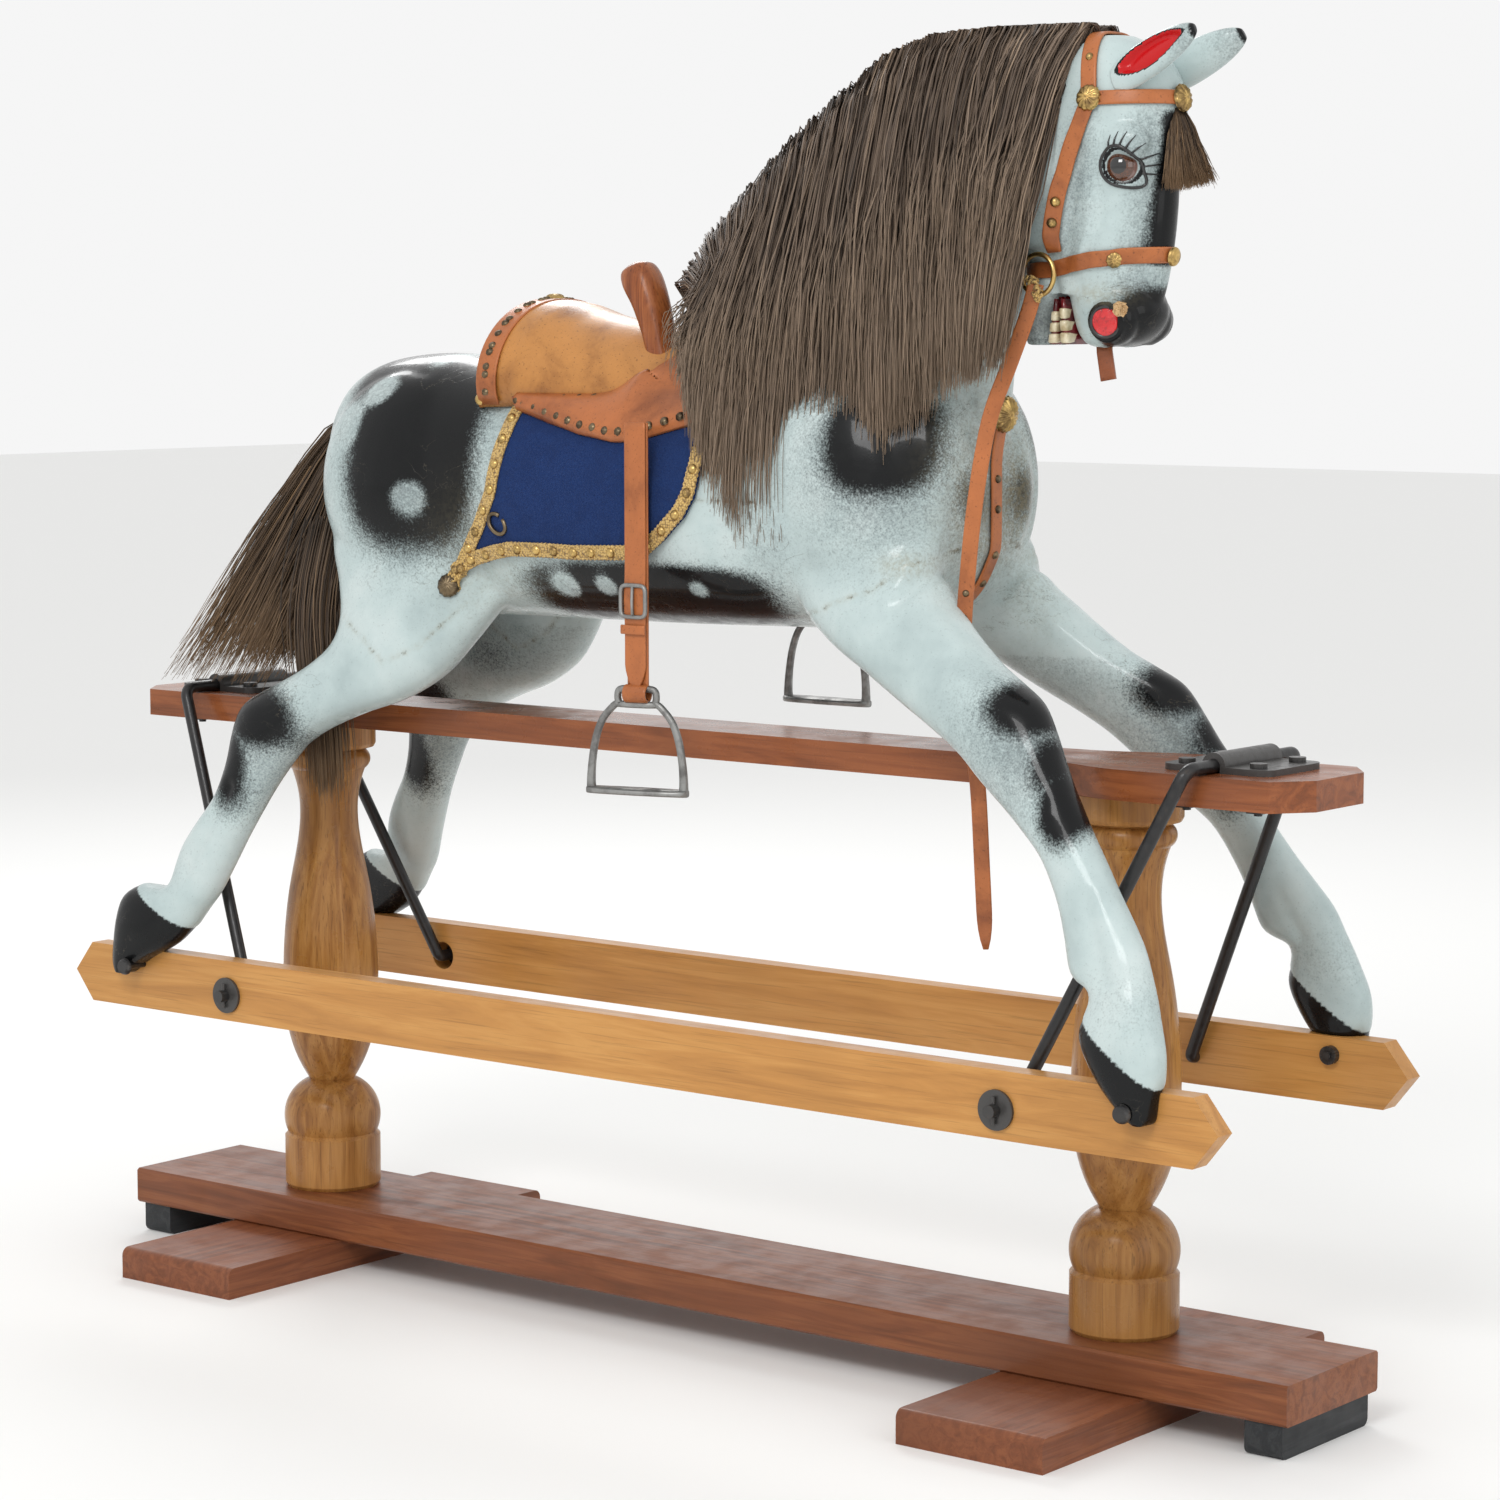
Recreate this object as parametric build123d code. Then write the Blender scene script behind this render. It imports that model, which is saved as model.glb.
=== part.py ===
"""Rocking horse on a swing-iron safety stand.

Millimetres.  +X towards the horse's nose, +Y towards the horse's left side, +Z up.
The origin is on the floor, under the middle of the stand.
"""
import os
from math import cos, radians, sin

from build123d import *

os.makedirs("parts", exist_ok=True)

# ---------------------------------------------------------------- driving dimensions
BASE_LENGTH = 1500.0
BASE_WIDTH = 164.0
BASE_THICK = 38.6
FOOT_LENGTH = 493.0          # across the stand
FOOT_WIDTH = 162.6
FOOT_THICK = 32.8
FOOT_X = 516.0
END_BLOCK_LENGTH = 40.0
POST_X = 522.0
POST_TOP = 587.5             # underside of the top rail
TENON_R = 15.0
TENON_DEPTH = 18.0
TOP_RAIL_LENGTH = 1496.0
TOP_RAIL_THICK = 28.5
TOP_RAIL_NARROW = 45.0       # half width in the middle
TOP_RAIL_WIDE = 78.0         # half width over the posts

IRON_R = 6.35                # round bar of the swing irons
PIVOT_X = 645.0              # crossbar of each swing iron, on the top rail
PIN_X = 499.0                # lower pin of each swing iron, in the hoof rails
PIN_Z = 308.8
PIVOT_GAP = 0.35             # crossbar clear of the rail and of its bracket
IRON_SHOULDER_Y = 96.0       # where the crossbar turns down outside the top rail
RAIL_Y = 168.2               # middle of each hoof rail
RAIL_THICK = 23.4
RAIL_HEIGHT = 64.4
RAIL_Z = 313.4
RAIL_HALF_LENGTH = 735.0
FRONT_HOLE_R = 6.45          # running fit on the front iron's pins
REAR_HOLE_R = 15.5           # open pivot: room for the linkage's second-order error
WASHER_R = 19.0

SADDLE_BASE_Z = 890.0
BODY_SPLIT_Z = 852.0         # glue line between the two hollowed body blocks
STRAP = 2.6                  # leather strap thickness
CLOTH = 4.0                  # saddle cloth thickness
BRAID = 2.0                  # braid on top of the cloth
SADDLE_ROUND = 70.0          # corner radius of the saddle's cross section
LEATHER_Y = 141.5            # stirrup leathers hang in this plane, either side
LEATHER_HALF = 13.5          # half width of a stirrup leather
LEATHER_TOP = 920.0          # each leather turns about this height, under the skirt
IRON_HALF = 51.0             # half width of a stirrup iron
IRON_TALL = 108.0
GAP = 0.4                    # between bodies that move past each other

TOP_RAIL_TOP = POST_TOP + TOP_RAIL_THICK
DECK = FOOT_THICK + BASE_THICK
PIVOT_Z = TOP_RAIL_TOP + IRON_R + PIVOT_GAP
RAIL_TOP = RAIL_Z + RAIL_HEIGHT / 2
RAIL_OUTER = RAIL_Y + RAIL_THICK / 2
RAIL_INNER = RAIL_Y - RAIL_THICK / 2

written = []


def save(node, shape):
    """Write one node, and keep its name."""
    export_step(shape, os.path.join("parts", node + ".step"))
    written.append(node)


def group(shapes):
    """Separate solids that share one node."""
    return Compound(children=[solid for shape in shapes for solid in shape.solids()])


def trimmed(pieces, *tools):
    """What is left of each piece outside the tools, as solids."""
    for tool in tools:
        pieces = [solid for piece in pieces for solid in (piece - tool).solids()]
    return pieces


def block(x0, x1, y0, y1, z0, z1):
    """Axis-aligned box between two corners."""
    return Pos((x0 + x1) / 2, (y0 + y1) / 2, (z0 + z1) / 2) * Box(x1 - x0, y1 - y0, z1 - z0)


def rod(start, end, radius):
    """Round bar between two points."""
    a, b = Vector(*start), Vector(*end)
    plane = Plane(origin=a, z_dir=b - a)
    return extrude(plane * Circle(radius), (b - a).length)


def side_prism(points, y0, y1, smooth=False):
    """A side outline of (x, z) points, extruded across the horse from y0 to y1."""
    path = [(x, y0, z) for x, z in points]
    if smooth:
        wire = Wire([Spline(path, periodic=True).edge()])
    else:
        wire = Wire.make_polygon([Vector(*p) for p in path], close=True)
    return extrude(Face(wire), amount=y1 - y0, dir=(0, 1, 0))


def both_sides(shape):
    """A shape and its mirror image across the horse's middle plane."""
    return [shape, mirror(shape, about=Plane.XZ)]


# ---------------------------------------------------------------- the stand
def base_plank():
    plank = block(-BASE_LENGTH / 2, BASE_LENGTH / 2, -BASE_WIDTH / 2, BASE_WIDTH / 2, FOOT_THICK, DECK)
    plank = chamfer(plank.edges().filter_by(Axis.X), 2.5)
    for x in (-POST_X, POST_X):
        plank -= Pos(x, 0, DECK - TENON_DEPTH) * Cylinder(TENON_R, TENON_DEPTH + 1, align=(Align.CENTER,
            Align.CENTER, Align.MIN))
    return plank


def cross_foot(x):
    foot = block(x - FOOT_WIDTH / 2, x + FOOT_WIDTH / 2, -FOOT_LENGTH / 2, FOOT_LENGTH / 2, 0, FOOT_THICK)
    return fillet(foot.edges().filter_by(Axis.X).group_by(Axis.Z)[-1], 9)


def end_block(side):
    outer = side * (BASE_LENGTH / 2 - 7)
    inner = outer - side * END_BLOCK_LENGTH
    piece = block(min(outer, inner), max(outer, inner), -BASE_WIDTH / 2 + 5, BASE_WIDTH / 2 - 5, 0,
        FOOT_THICK)
    return fillet(piece.edges().filter_by(Axis.X).group_by(Axis.Z)[0], 8)


def post(x):
    """Turned baluster: plinth, ball, vase, neck ring and top collar, with a tenon at each end."""
    outline = [(0, DECK - TENON_DEPTH + 1), (TENON_R - 0.2, DECK - TENON_DEPTH + 1), (TENON_R - 0.2, DECK),
               (50, DECK), (52.5, DECK + 4), (52.5, DECK + 56), (49, DECK + 60)]
    line = Polyline(*[(r, 0, z) for r, z in outline])
    ball = ThreePointArc((49, 0, 131.4), (51.5, 0, 161), (25, 0, 191))
    vase = Spline((25, 0, 191), (46, 0, 240), (52, 0, 316), (43, 0, 410), (31.5, 0, 489), (40, 0, 535))
    ring = ThreePointArc((40, 0, 535), (46, 0, 546), (40, 0, 556))
    cap = Polyline((40, 0, 556), (50, 0, 559), (52, 0, 563), (52, 0, 584), (50, 0, POST_TOP),
                   (TENON_R - 0.2, 0, POST_TOP), (TENON_R - 0.2, 0, POST_TOP + TENON_DEPTH - 1),
                   (0, 0, POST_TOP + TENON_DEPTH - 1), (0, 0, outline[0][1]))
    profile = make_face(Curve() + [line, ball, vase, ring, cap])
    return Pos(x, 0, 0) * revolve(profile, Axis.Z)


def top_rail():
    """Plank that narrows between the posts, with clipped corners at its ends."""
    end = TOP_RAIL_LENGTH / 2
    middle = Polyline((0, 0), (0, TOP_RAIL_NARROW), (428, TOP_RAIL_NARROW))
    curve = Spline((428, TOP_RAIL_NARROW), (500, 62), (565, TOP_RAIL_WIDE), tangents=((1, 0), (1, 0)))
    tip = Polyline((565, TOP_RAIL_WIDE), (end - 28, TOP_RAIL_WIDE), (end, TOP_RAIL_WIDE - 36), (end, 0))
    quarter = Curve() + [middle, curve, tip, Line((end, 0), (0, 0))]
    face = make_face(quarter)
    plank = extrude(face, TOP_RAIL_THICK)
    plank += mirror(plank, about=Plane.XZ)
    plank += mirror(plank, about=Plane.YZ)
    plank = Pos(0, 0, POST_TOP) * plank
    for x in (-POST_X, POST_X):
        plank -= Pos(x, 0, POST_TOP - 1) * Cylinder(TENON_R, TENON_DEPTH + 1, align=(Align.CENTER,
            Align.CENTER, Align.MIN))
    for x, y in bracket_bolt_places():
        plank -= rod((x, y, POST_TOP - 1), (x, y, TOP_RAIL_TOP + 1), BOLT_R)
    return plank


BRACKET_HALF = (58.0, 50.0)
BRACKET_THICK = 6.0
BOLT_R = 4.0
BOLT_SPREAD = (38.0, 34.0)


def bracket_bolt_places():
    return [(sx * PIVOT_X + ex * BOLT_SPREAD[0], ey * BOLT_SPREAD[1])
            for sx in (-1, 1) for ex in (-1, 1) for ey in (-1, 1)]


def bracket(side):
    """Cast plate screwed over the crossbar, with a half-round hump that the bar turns in."""
    x = side * PIVOT_X
    z = TOP_RAIL_TOP
    plate = block(x - BRACKET_HALF[0], x + BRACKET_HALF[0], -BRACKET_HALF[1], BRACKET_HALF[1], z,
        z + BRACKET_THICK)
    plate = fillet(plate.edges().filter_by(Axis.Z), 14)
    hump = rod((x, -BRACKET_HALF[1], PIVOT_Z), (x, BRACKET_HALF[1], PIVOT_Z), IRON_R + 6)
    hump &= block(x - 30, x + 30, -60, 60, z, z + 40)
    plate += hump
    plate -= rod((x, -70, PIVOT_Z), (x, 70, PIVOT_Z), IRON_R + PIVOT_GAP)
    bore = IRON_R + PIVOT_GAP
    plate -= block(x - bore, x + bore, -70, 70, z - 1, PIVOT_Z)
    for bx, by in bracket_bolt_places():
        if bx * side > 0:
            plate -= rod((bx, by, z - 1), (bx, by, z + BRACKET_THICK + 1), BOLT_R)
    return plate


def bracket_bolts():
    """Round-headed bolts through bracket and rail, each with a square nut below."""
    bolts = []
    for x, y in bracket_bolt_places():
        head_z = TOP_RAIL_TOP + BRACKET_THICK
        bolt = rod((x, y, POST_TOP - 9), (x, y, head_z), BOLT_R - 0.05)
        bolt += rod((x, y, head_z), (x, y, head_z + 4.5), 8)
        bolt += block(x - 8, x + 8, y - 8, y + 8, POST_TOP - 6.5, POST_TOP)
        bolts.append(bolt)
    return group(bolts)


def swing_iron(side):
    """One bent round bar: a crossbar on the top rail, two splayed legs and two pins through the hoof rails."""
    x_top, x_pin = side * PIVOT_X, side * PIN_X
    leg_y = RAIL_INNER - 6.75
    half = [(x_pin, RAIL_OUTER + 14, PIN_Z), (x_pin, leg_y, PIN_Z), (x_top, IRON_SHOULDER_Y, PIVOT_Z)]
    corners = half + [(x, -y, z) for x, y, z in half[::-1]]
    path = FilletPolyline(*corners, radius=[7, 14, 14, 7])
    return sweep(Plane(origin=path @ 0, z_dir=path % 0) * Circle(IRON_R), path)


def iron_washers(side):
    """A washer and a split pin on each lower pin, outside the hoof rail."""
    x = side * PIN_X
    pieces = []
    for s in (-1, 1):
        y0 = s * (RAIL_OUTER + GAP)
        y1 = s * (RAIL_OUTER + GAP + 3)
        washer = rod((x, y0, PIN_Z), (x, y1, PIN_Z), WASHER_R)
        washer -= rod((x, y0 - s, PIN_Z), (x, y1 + s, PIN_Z), IRON_R)
        y2 = s * (RAIL_OUTER + GAP + 5.5)
        split = rod((x, y2, PIN_Z - 13), (x, y2, PIN_Z + 13), 1.8)
        pieces += [washer, split]
    return group(pieces)


# ---------------------------------------------------------------- the hoof rails
def hoof_rail(side):
    """Pointed beech rail that two hooves are bolted to."""
    point = RAIL_HALF_LENGTH
    low, high = RAIL_Z - RAIL_HEIGHT / 2, RAIL_TOP
    outline = [(-point + 26, low), (point - 26, low), (point, RAIL_Z), (point - 26, high),
               (-point + 26, high), (-point, RAIL_Z)]
    y0 = side * RAIL_Y - RAIL_THICK / 2
    rail = side_prism(outline, y0, y0 + RAIL_THICK)
    rail -= rod((PIN_X, y0 - 1, PIN_Z), (PIN_X, y0 + RAIL_THICK + 1, PIN_Z), FRONT_HOLE_R)
    rail -= rod((-PIN_X, y0 - 1, PIN_Z), (-PIN_X, y0 + RAIL_THICK + 1, PIN_Z), REAR_HOLE_R)
    for x, z in HOOF_BOLTS:
        rail -= rod((x, y0 - 1, z), (x, y0 + RAIL_THICK + 1, z), HOOF_BOLT_R)
    return rail


HOOF_BOLTS = [(652.0, 328.0), (-628.0, 330.0)]
HOOF_BOLT_R = 4.0
HOOF_OUT = 206.0             # outer face of the hooves


def hoof_bolts():
    """Dome-headed bolts from outside the hoof through the rail, each with a nut inside."""
    bolts = []
    for x, z in HOOF_BOLTS:
        for s in (-1, 1):
            bolt = rod((x, s * (RAIL_INNER - 9), z), (x, s * HOOF_OUT, z), HOOF_BOLT_R - 0.05)
            dome = Pos(x, s * HOOF_OUT, z) * Sphere(9)
            dome &= block(x - 12, x + 12, min(s * HOOF_OUT, s * (HOOF_OUT + 6)), max(s * HOOF_OUT,
                s * (HOOF_OUT + 6)),
                          z - 12, z + 12)
            nut = rod((x, s * (RAIL_INNER - 7), z), (x, s * RAIL_INNER, z), 9)
            bolts.append(bolt + dome + nut)
    return group(bolts)


# ---------------------------------------------------------------- carved forms
def body_form(extra=0.0):
    """Barrel of the horse from rump to breast: x, underside, top, half width."""
    stations = [(-450, 800, 925, 40), (-438, 772, 952, 76), (-400, 738, 977, 106), (-310, 717, 990, 124),
                (-160, 717, 964, 124), (0, 719, 953, 126), (150, 724, 965, 128), (260, 737, 985, 122),
                (325, 766, 985, 104), (354, 800, 962, 78), (364, 832, 925, 42)]
    rings = []
    for x, low, high, half in stations:
        grow = extra if -440 < x < 360 else extra * 0.7
        shift = -extra if x < -440 else (extra if x > 360 else 0)
        plane = Plane(origin=(x + shift, 0, (low + high) / 2), x_dir=(0, 1, 0), z_dir=(1, 0, 0))
        rings.append(plane * Ellipse(half + grow, (high - low) / 2 + grow))
    return loft(rings)


def slanted_rings(stations, extra):
    """Rings across a limb: x, z, y, slope of the limb in degrees from +X, half depth, half width."""
    rings = []
    for x, z, y, slope, depth, half in stations:
        plane = Plane(origin=(x, y, z), x_dir=(0, 1, 0), z_dir=(cos(radians(slope)), 0,
            sin(radians(slope))))
        rings.append(plane * Ellipse(half + extra, depth + extra))
    return rings


def neck_form(extra=0.0):
    stations = [(200, 900, 0, 62, 165, 100), (235, 985, 0, 62, 150, 82), (272, 1060, 0, 61, 122, 66),
                (314, 1130, 0, 57, 104, 58), (365, 1192, 0, 47, 92, 54), (425, 1226, 0, 26, 60, 48)]
    return loft(slanted_rings(stations, extra))


def head_form(extra=0.0):
    """Head carried upright, muzzle down: height, back, front, half width."""
    stations = [(1001, 420, 536, 31), (1016, 414, 550, 37), (1046, 418, 545, 36), (1082, 416, 548, 41),
                (1120, 404, 558, 52), (1165, 398, 564, 56), (1215, 404, 569, 52), (1258, 428, 556, 43),
                (1281, 462, 528, 26)]
    rings = []
    for z, back, front, half in stations:
        z += -extra if z == 1001 else (extra if z == 1281 else 0)
        plane = Plane(origin=((back + front) / 2, 0, z), x_dir=(1, 0, 0), z_dir=(0, 0, 1))
        rings.append(plane * Ellipse((front - back) / 2 + extra, half + extra))
    return loft(rings)


def foreleg_form():
    """Right foreleg, reaching forward from the shoulder to the hoof on the rail."""
    stations = [(255, 800, -64, -42, 98, 44), (325, 733, -96, -41, 64, 36), (394, 689, -110, -34, 53, 34),
                (460, 650, -121, -40, 46, 31), (492, 620, -128, -52, 41, 29), (517, 586, -136, -54, 32, 25),
                (543, 552, -143, -55, 27, 23), (578, 506, -154, -56, 28, 22), (602, 468, -162, -55, 34, 23),
                (626, 430, -171, -68, 33, 22), (634, 396, -179, -82, 42, 25), (646, 346, -181, -80, 34, 25),
                (656, 314, -183, -80, 17, 23)]
    return loft(slanted_rings(stations, 0))


def hind_leg_form():
    """Right hind leg, reaching back from the haunch to the hoof on the rail."""
    stations = [(-305, 805, -60, -104, 104, 44), (-318, 706, -92, -112, 80, 40), (-366, 650, -110, -134,
        58, 36),
                (-432, 610, -123, -142, 46, 32), (-480, 572, -132, -124, 38, 28), (-500, 532, -141, -114,
                    32, 25),
                (-522, 488, -151, -116, 31, 23), (-547, 443, -162, -120, 33, 24), (-574, 408, -171, -118,
                    37, 24),
                (-600, 378, -178, -106, 46, 25), (-618, 344, -181, -98, 41, 25), (-630, 314, -183, -96,
                    24, 23)]
    return loft(slanted_rings(stations, 0), ruled=True)


def carved_leg(form, body, bolt_x, bolt_z):
    """A leg, halved over its rail and cut to the body."""
    leg = form - body
    leg -= block(-800, 800, -RAIL_OUTER, 0, 200, RAIL_TOP)
    leg -= block(-800, 800, -260, -HOOF_OUT, 200, 460)
    leg -= rod((bolt_x, -300, bolt_z), (bolt_x, -100, bolt_z), HOOF_BOLT_R)
    return leg.solids().sort_by(SortBy.VOLUME)[-1]


# ---------------------------------------------------------------- head details
def ear():
    """Right ear, pricked forward."""
    rings = []
    for x, z, y, wide, tall in ((520, 1244, -32, 14, 24), (556, 1262, -38, 13, 21), (590, 1276, -42, 8, 12),
                                (608, 1283, -43, 2, 3)):
        plane = Plane(origin=(x, y, z), x_dir=(0, 1, 0), z_dir=(cos(radians(25)), 0, sin(radians(25))))
        rings.append(plane * Ellipse(wide, tall))
    return loft(rings)


EYE_RADIUS = 11.5
EYE_Y = 43.5                 # the head is 49.7 to each side here


def eyeballs():
    """Glass eyes, set a little proud of the cheeks."""
    return [Pos(533, side * EYE_Y, 1163) * Sphere(EYE_RADIUS) for side in (-1, 1)]


MOUTH = [(434, 990), (465, 990), (465, 1032), (457, 1046), (442, 1046), (434, 1032)]


def teeth():
    """Two rows of wooden teeth in the open mouth."""
    rows = [block(435, 443, -24, 24, 1003, 1026), block(456, 464, -24, 24, 1003, 1030)]
    return group(rows)


def strap(outer, inner, outline, y0=-200.0, y1=200.0):
    """Leather that follows a carved form, inside a side outline."""
    return (outer & side_prism(outline, y0, y1)) - inner


def ribbon(points, half):
    """Side outline of a strap: a band of constant half width along a line of (x, z) points."""
    upper, lower = [], []
    for i, (x, z) in enumerate(points):
        before, after = points[max(i - 1, 0)], points[min(i + 1, len(points) - 1)]
        along = Vector(after[0] - before[0], after[1] - before[1]).normalized()
        upper.append((x - along.Y * half, z + along.X * half))
        lower.append((x + along.Y * half, z - along.X * half))
    return upper + lower[::-1]


# ---------------------------------------------------------------- saddle and tack outlines
SEAT = [(-208, 944), (-205, 1000), (-190, 1046), (-160, 1050), (-80, 1031), (0, 1026), (62, 1030),
        (70, 990), (20, 988), (-90, 970), (-155, 957), (-180, 944)]
SKIRT_EDGE = [(-200, 990), (-196, 946), (-150, 952), (-104, 932), (-58, 916), (-12, 907), (16, 908),
              (45, 920), (98, 941), (92, 1000), (60, 1030), (-190, 1040)]
CLOTH_EDGE = [(-158, 1010), (-161, 915), (-172, 851), (-190, 818), (-233, 760), (-165, 783), (-120, 789),
              (30, 791), (66, 815), (93, 838), (107, 870), (110, 1010)]


def saddle_form():
    """Outer shape of the whole saddle, astride the barrel."""
    rings = []
    for x, top, half in ((-214, 1040, 114), (-185, 1050, 121), (-150, 1046, 123), (-80, 1026, 122),
                         (0, 1019, 121), (104, 1022, 118)):
        plane = Plane(origin=(x, 0, SADDLE_BASE_Z), x_dir=(0, 1, 0), z_dir=(1, 0, 0))
        rings.append(plane * RectangleRounded(2 * half, 2 * (top - SADDLE_BASE_Z), SADDLE_ROUND))
    return loft(rings)


def skirt_lip(side, x):
    """Fold of the skirt that the stirrup leather hangs behind."""
    inner, outer = side * (LEATHER_Y + 5), side * (LEATHER_Y + 9)
    face = block(x - 30, x + 30, min(inner, outer), max(inner, outer), 906, 945)
    root = side * 112
    return face + block(x - 30, x + 30, min(root, outer), max(root, outer), 936, 945)


def peg():
    """Upright leather-covered head on the saddle's near front corner."""
    rings = []
    for x, z, a, b in ((-8, 975, 22, 16), (-12, 1010, 24, 17), (-28, 1050, 21, 17), (-34, 1076, 20, 16)):
        plane = Plane(origin=(x, -42, z), x_dir=(1, 0, 0), z_dir=(-0.25, 0, 1))
        rings.append(plane * Ellipse(a, b))
    return loft(rings)


# ---------------------------------------------------------------- stirrups
STIRRUPS = {"right": (-1, 40.0, 655.0, 14.0), "left": (1, 58.0, 724.0, 0.0)}


def stirrup_leather(side, x, slot_z, yaw):
    """Doubled strap from under the skirt to a loop round the stirrup iron's top bar."""
    y = side * LEATHER_Y
    band = block(x - LEATHER_HALF, x + LEATHER_HALF, y - 3, y + 3, slot_z + 10, LEATHER_TOP)
    band += rod((x, y - 3, LEATHER_TOP), (x, y + 3, LEATHER_TOP), LEATHER_HALF)
    place = Pos(x, y, slot_z + 5) * Rot(0, 0, yaw)
    loop = place * (rod((-LEATHER_HALF, 0, 0), (LEATHER_HALF, 0, 0), 8) - rod((-50, 0, 0), (50, 0, 0), 5.2))
    return band - place * rod((-50, 0, 0), (50, 0, 0), 6) + loop


def stirrup_buckle(side, x, slot_z):
    """Square buckle standing on the outer face of the leather."""
    y0 = side * (LEATHER_Y + 3)
    y1 = side * (LEATHER_Y + 6.5)
    z = slot_z + 96
    frame = block(x - 17, x + 17, min(y0, y1), max(y0, y1), z - 16, z + 16)
    return frame - block(x - 11, x + 11, min(y0, y1) - 1, max(y0, y1) + 1, z - 10, z + 10)


def stirrup_iron(side, x, slot_z, yaw):
    """Arched iron with a flat tread and a slotted top, turned a little on its leather."""
    top = IRON_TALL
    outer = [(-IRON_HALF, 0), (-IRON_HALF, 20), (-40, 62), (-22, 88), (-22, top), (22, top), (22, 88),
        (40, 62),
             (IRON_HALF, 20), (IRON_HALF, 0)]
    inner = [(-IRON_HALF + 7, 7), (-IRON_HALF + 7, 21), (-34, 58), (-13, 82), (13, 82), (34, 58),
             (IRON_HALF - 7, 21), (IRON_HALF - 7, 7)]
    slot = [(-17.5, 86.5), (17.5, 86.5), (17.5, top - 9), (-17.5, top - 9)]
    arch = side_prism(outer, -4.5, 4.5) - side_prism(inner, -6, 6) - side_prism(slot, -6, 6)
    arch -= side_prism([(-18, top - 9.2), (18, top - 9.2), (18, top + 5), (-18, top + 5)], -6, 6)
    bar_z = 101.0
    arch += rod((-20, 0, bar_z), (20, 0, bar_z), 4)
    tread = block(-IRON_HALF, IRON_HALF, -17, 17, 0, 7)
    iron = arch + fillet(tread.edges().filter_by(Axis.Z), 10)
    place = Pos(x, side * LEATHER_Y, slot_z + 5 - bar_z) * Rot(0, 0, yaw)
    return place * iron


# ---------------------------------------------------------------- build everything
def build_stand():
    save("base_plank", base_plank())
    save("cross_foot_front", cross_foot(FOOT_X))
    save("cross_foot_rear", cross_foot(-FOOT_X))
    save("end_block_front", end_block(1))
    save("end_block_rear", end_block(-1))
    save("post_front", post(POST_X))
    save("post_rear", post(-POST_X))
    save("top_rail", top_rail())
    save("bracket_front", bracket(1))
    save("bracket_rear", bracket(-1))
    save("bracket_bolts", bracket_bolts())
    for name, side in (("front", 1), ("rear", -1)):
        save("swing_iron_" + name, swing_iron(side))
        save("iron_washers_" + name, iron_washers(side))


def build_horse():
    body = body_form()
    head = head_form()
    neck = neck_form()
    foreleg, hind_leg = foreleg_form(), hind_leg_form()
    legs = both_sides(foreleg) + both_sides(hind_leg)

    save("hoof_rail_right", hoof_rail(-1))
    save("hoof_rail_left", hoof_rail(1))
    save("hoof_bolts", hoof_bolts())

    hollow = fillet(block(-330, 240, -66, 66, 768, 918).edges(), 20)
    upper = (body & block(-600, 600, -300, 300, BODY_SPLIT_Z, 1100)) - hollow
    lower = (body & block(-600, 600, -300, 300, 600, BODY_SPLIT_Z)) - hollow
    save("body_upper", upper)
    save("body_lower", lower)
    save("neck", neck - body - head)

    mouth = side_prism(MOUTH, -80, 80)
    eyes = eyeballs()
    carved_head = head - mouth
    for eye in eyes:
        carved_head -= Pos(eye.center()) * Sphere(EYE_RADIUS + 0.15)
    save("head", carved_head)
    save("teeth", group([teeth()]))
    save("eyes", group(eyes))
    ears = [e - head for e in both_sides(ear())]
    save("ears", group(ears))

    right_fore = carved_leg(foreleg, body, *HOOF_BOLTS[0])
    right_hind = carved_leg(hind_leg, body, *HOOF_BOLTS[1])
    save("foreleg_right", right_fore)
    save("foreleg_left", mirror(right_fore, about=Plane.XZ))
    save("hind_leg_right", right_hind)
    save("hind_leg_left", mirror(right_hind, about=Plane.XZ))

    saddle, saddle_peg = build_saddle(body, neck, legs)
    build_bridle(head, neck, body, ears, saddle, saddle_peg)


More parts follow.
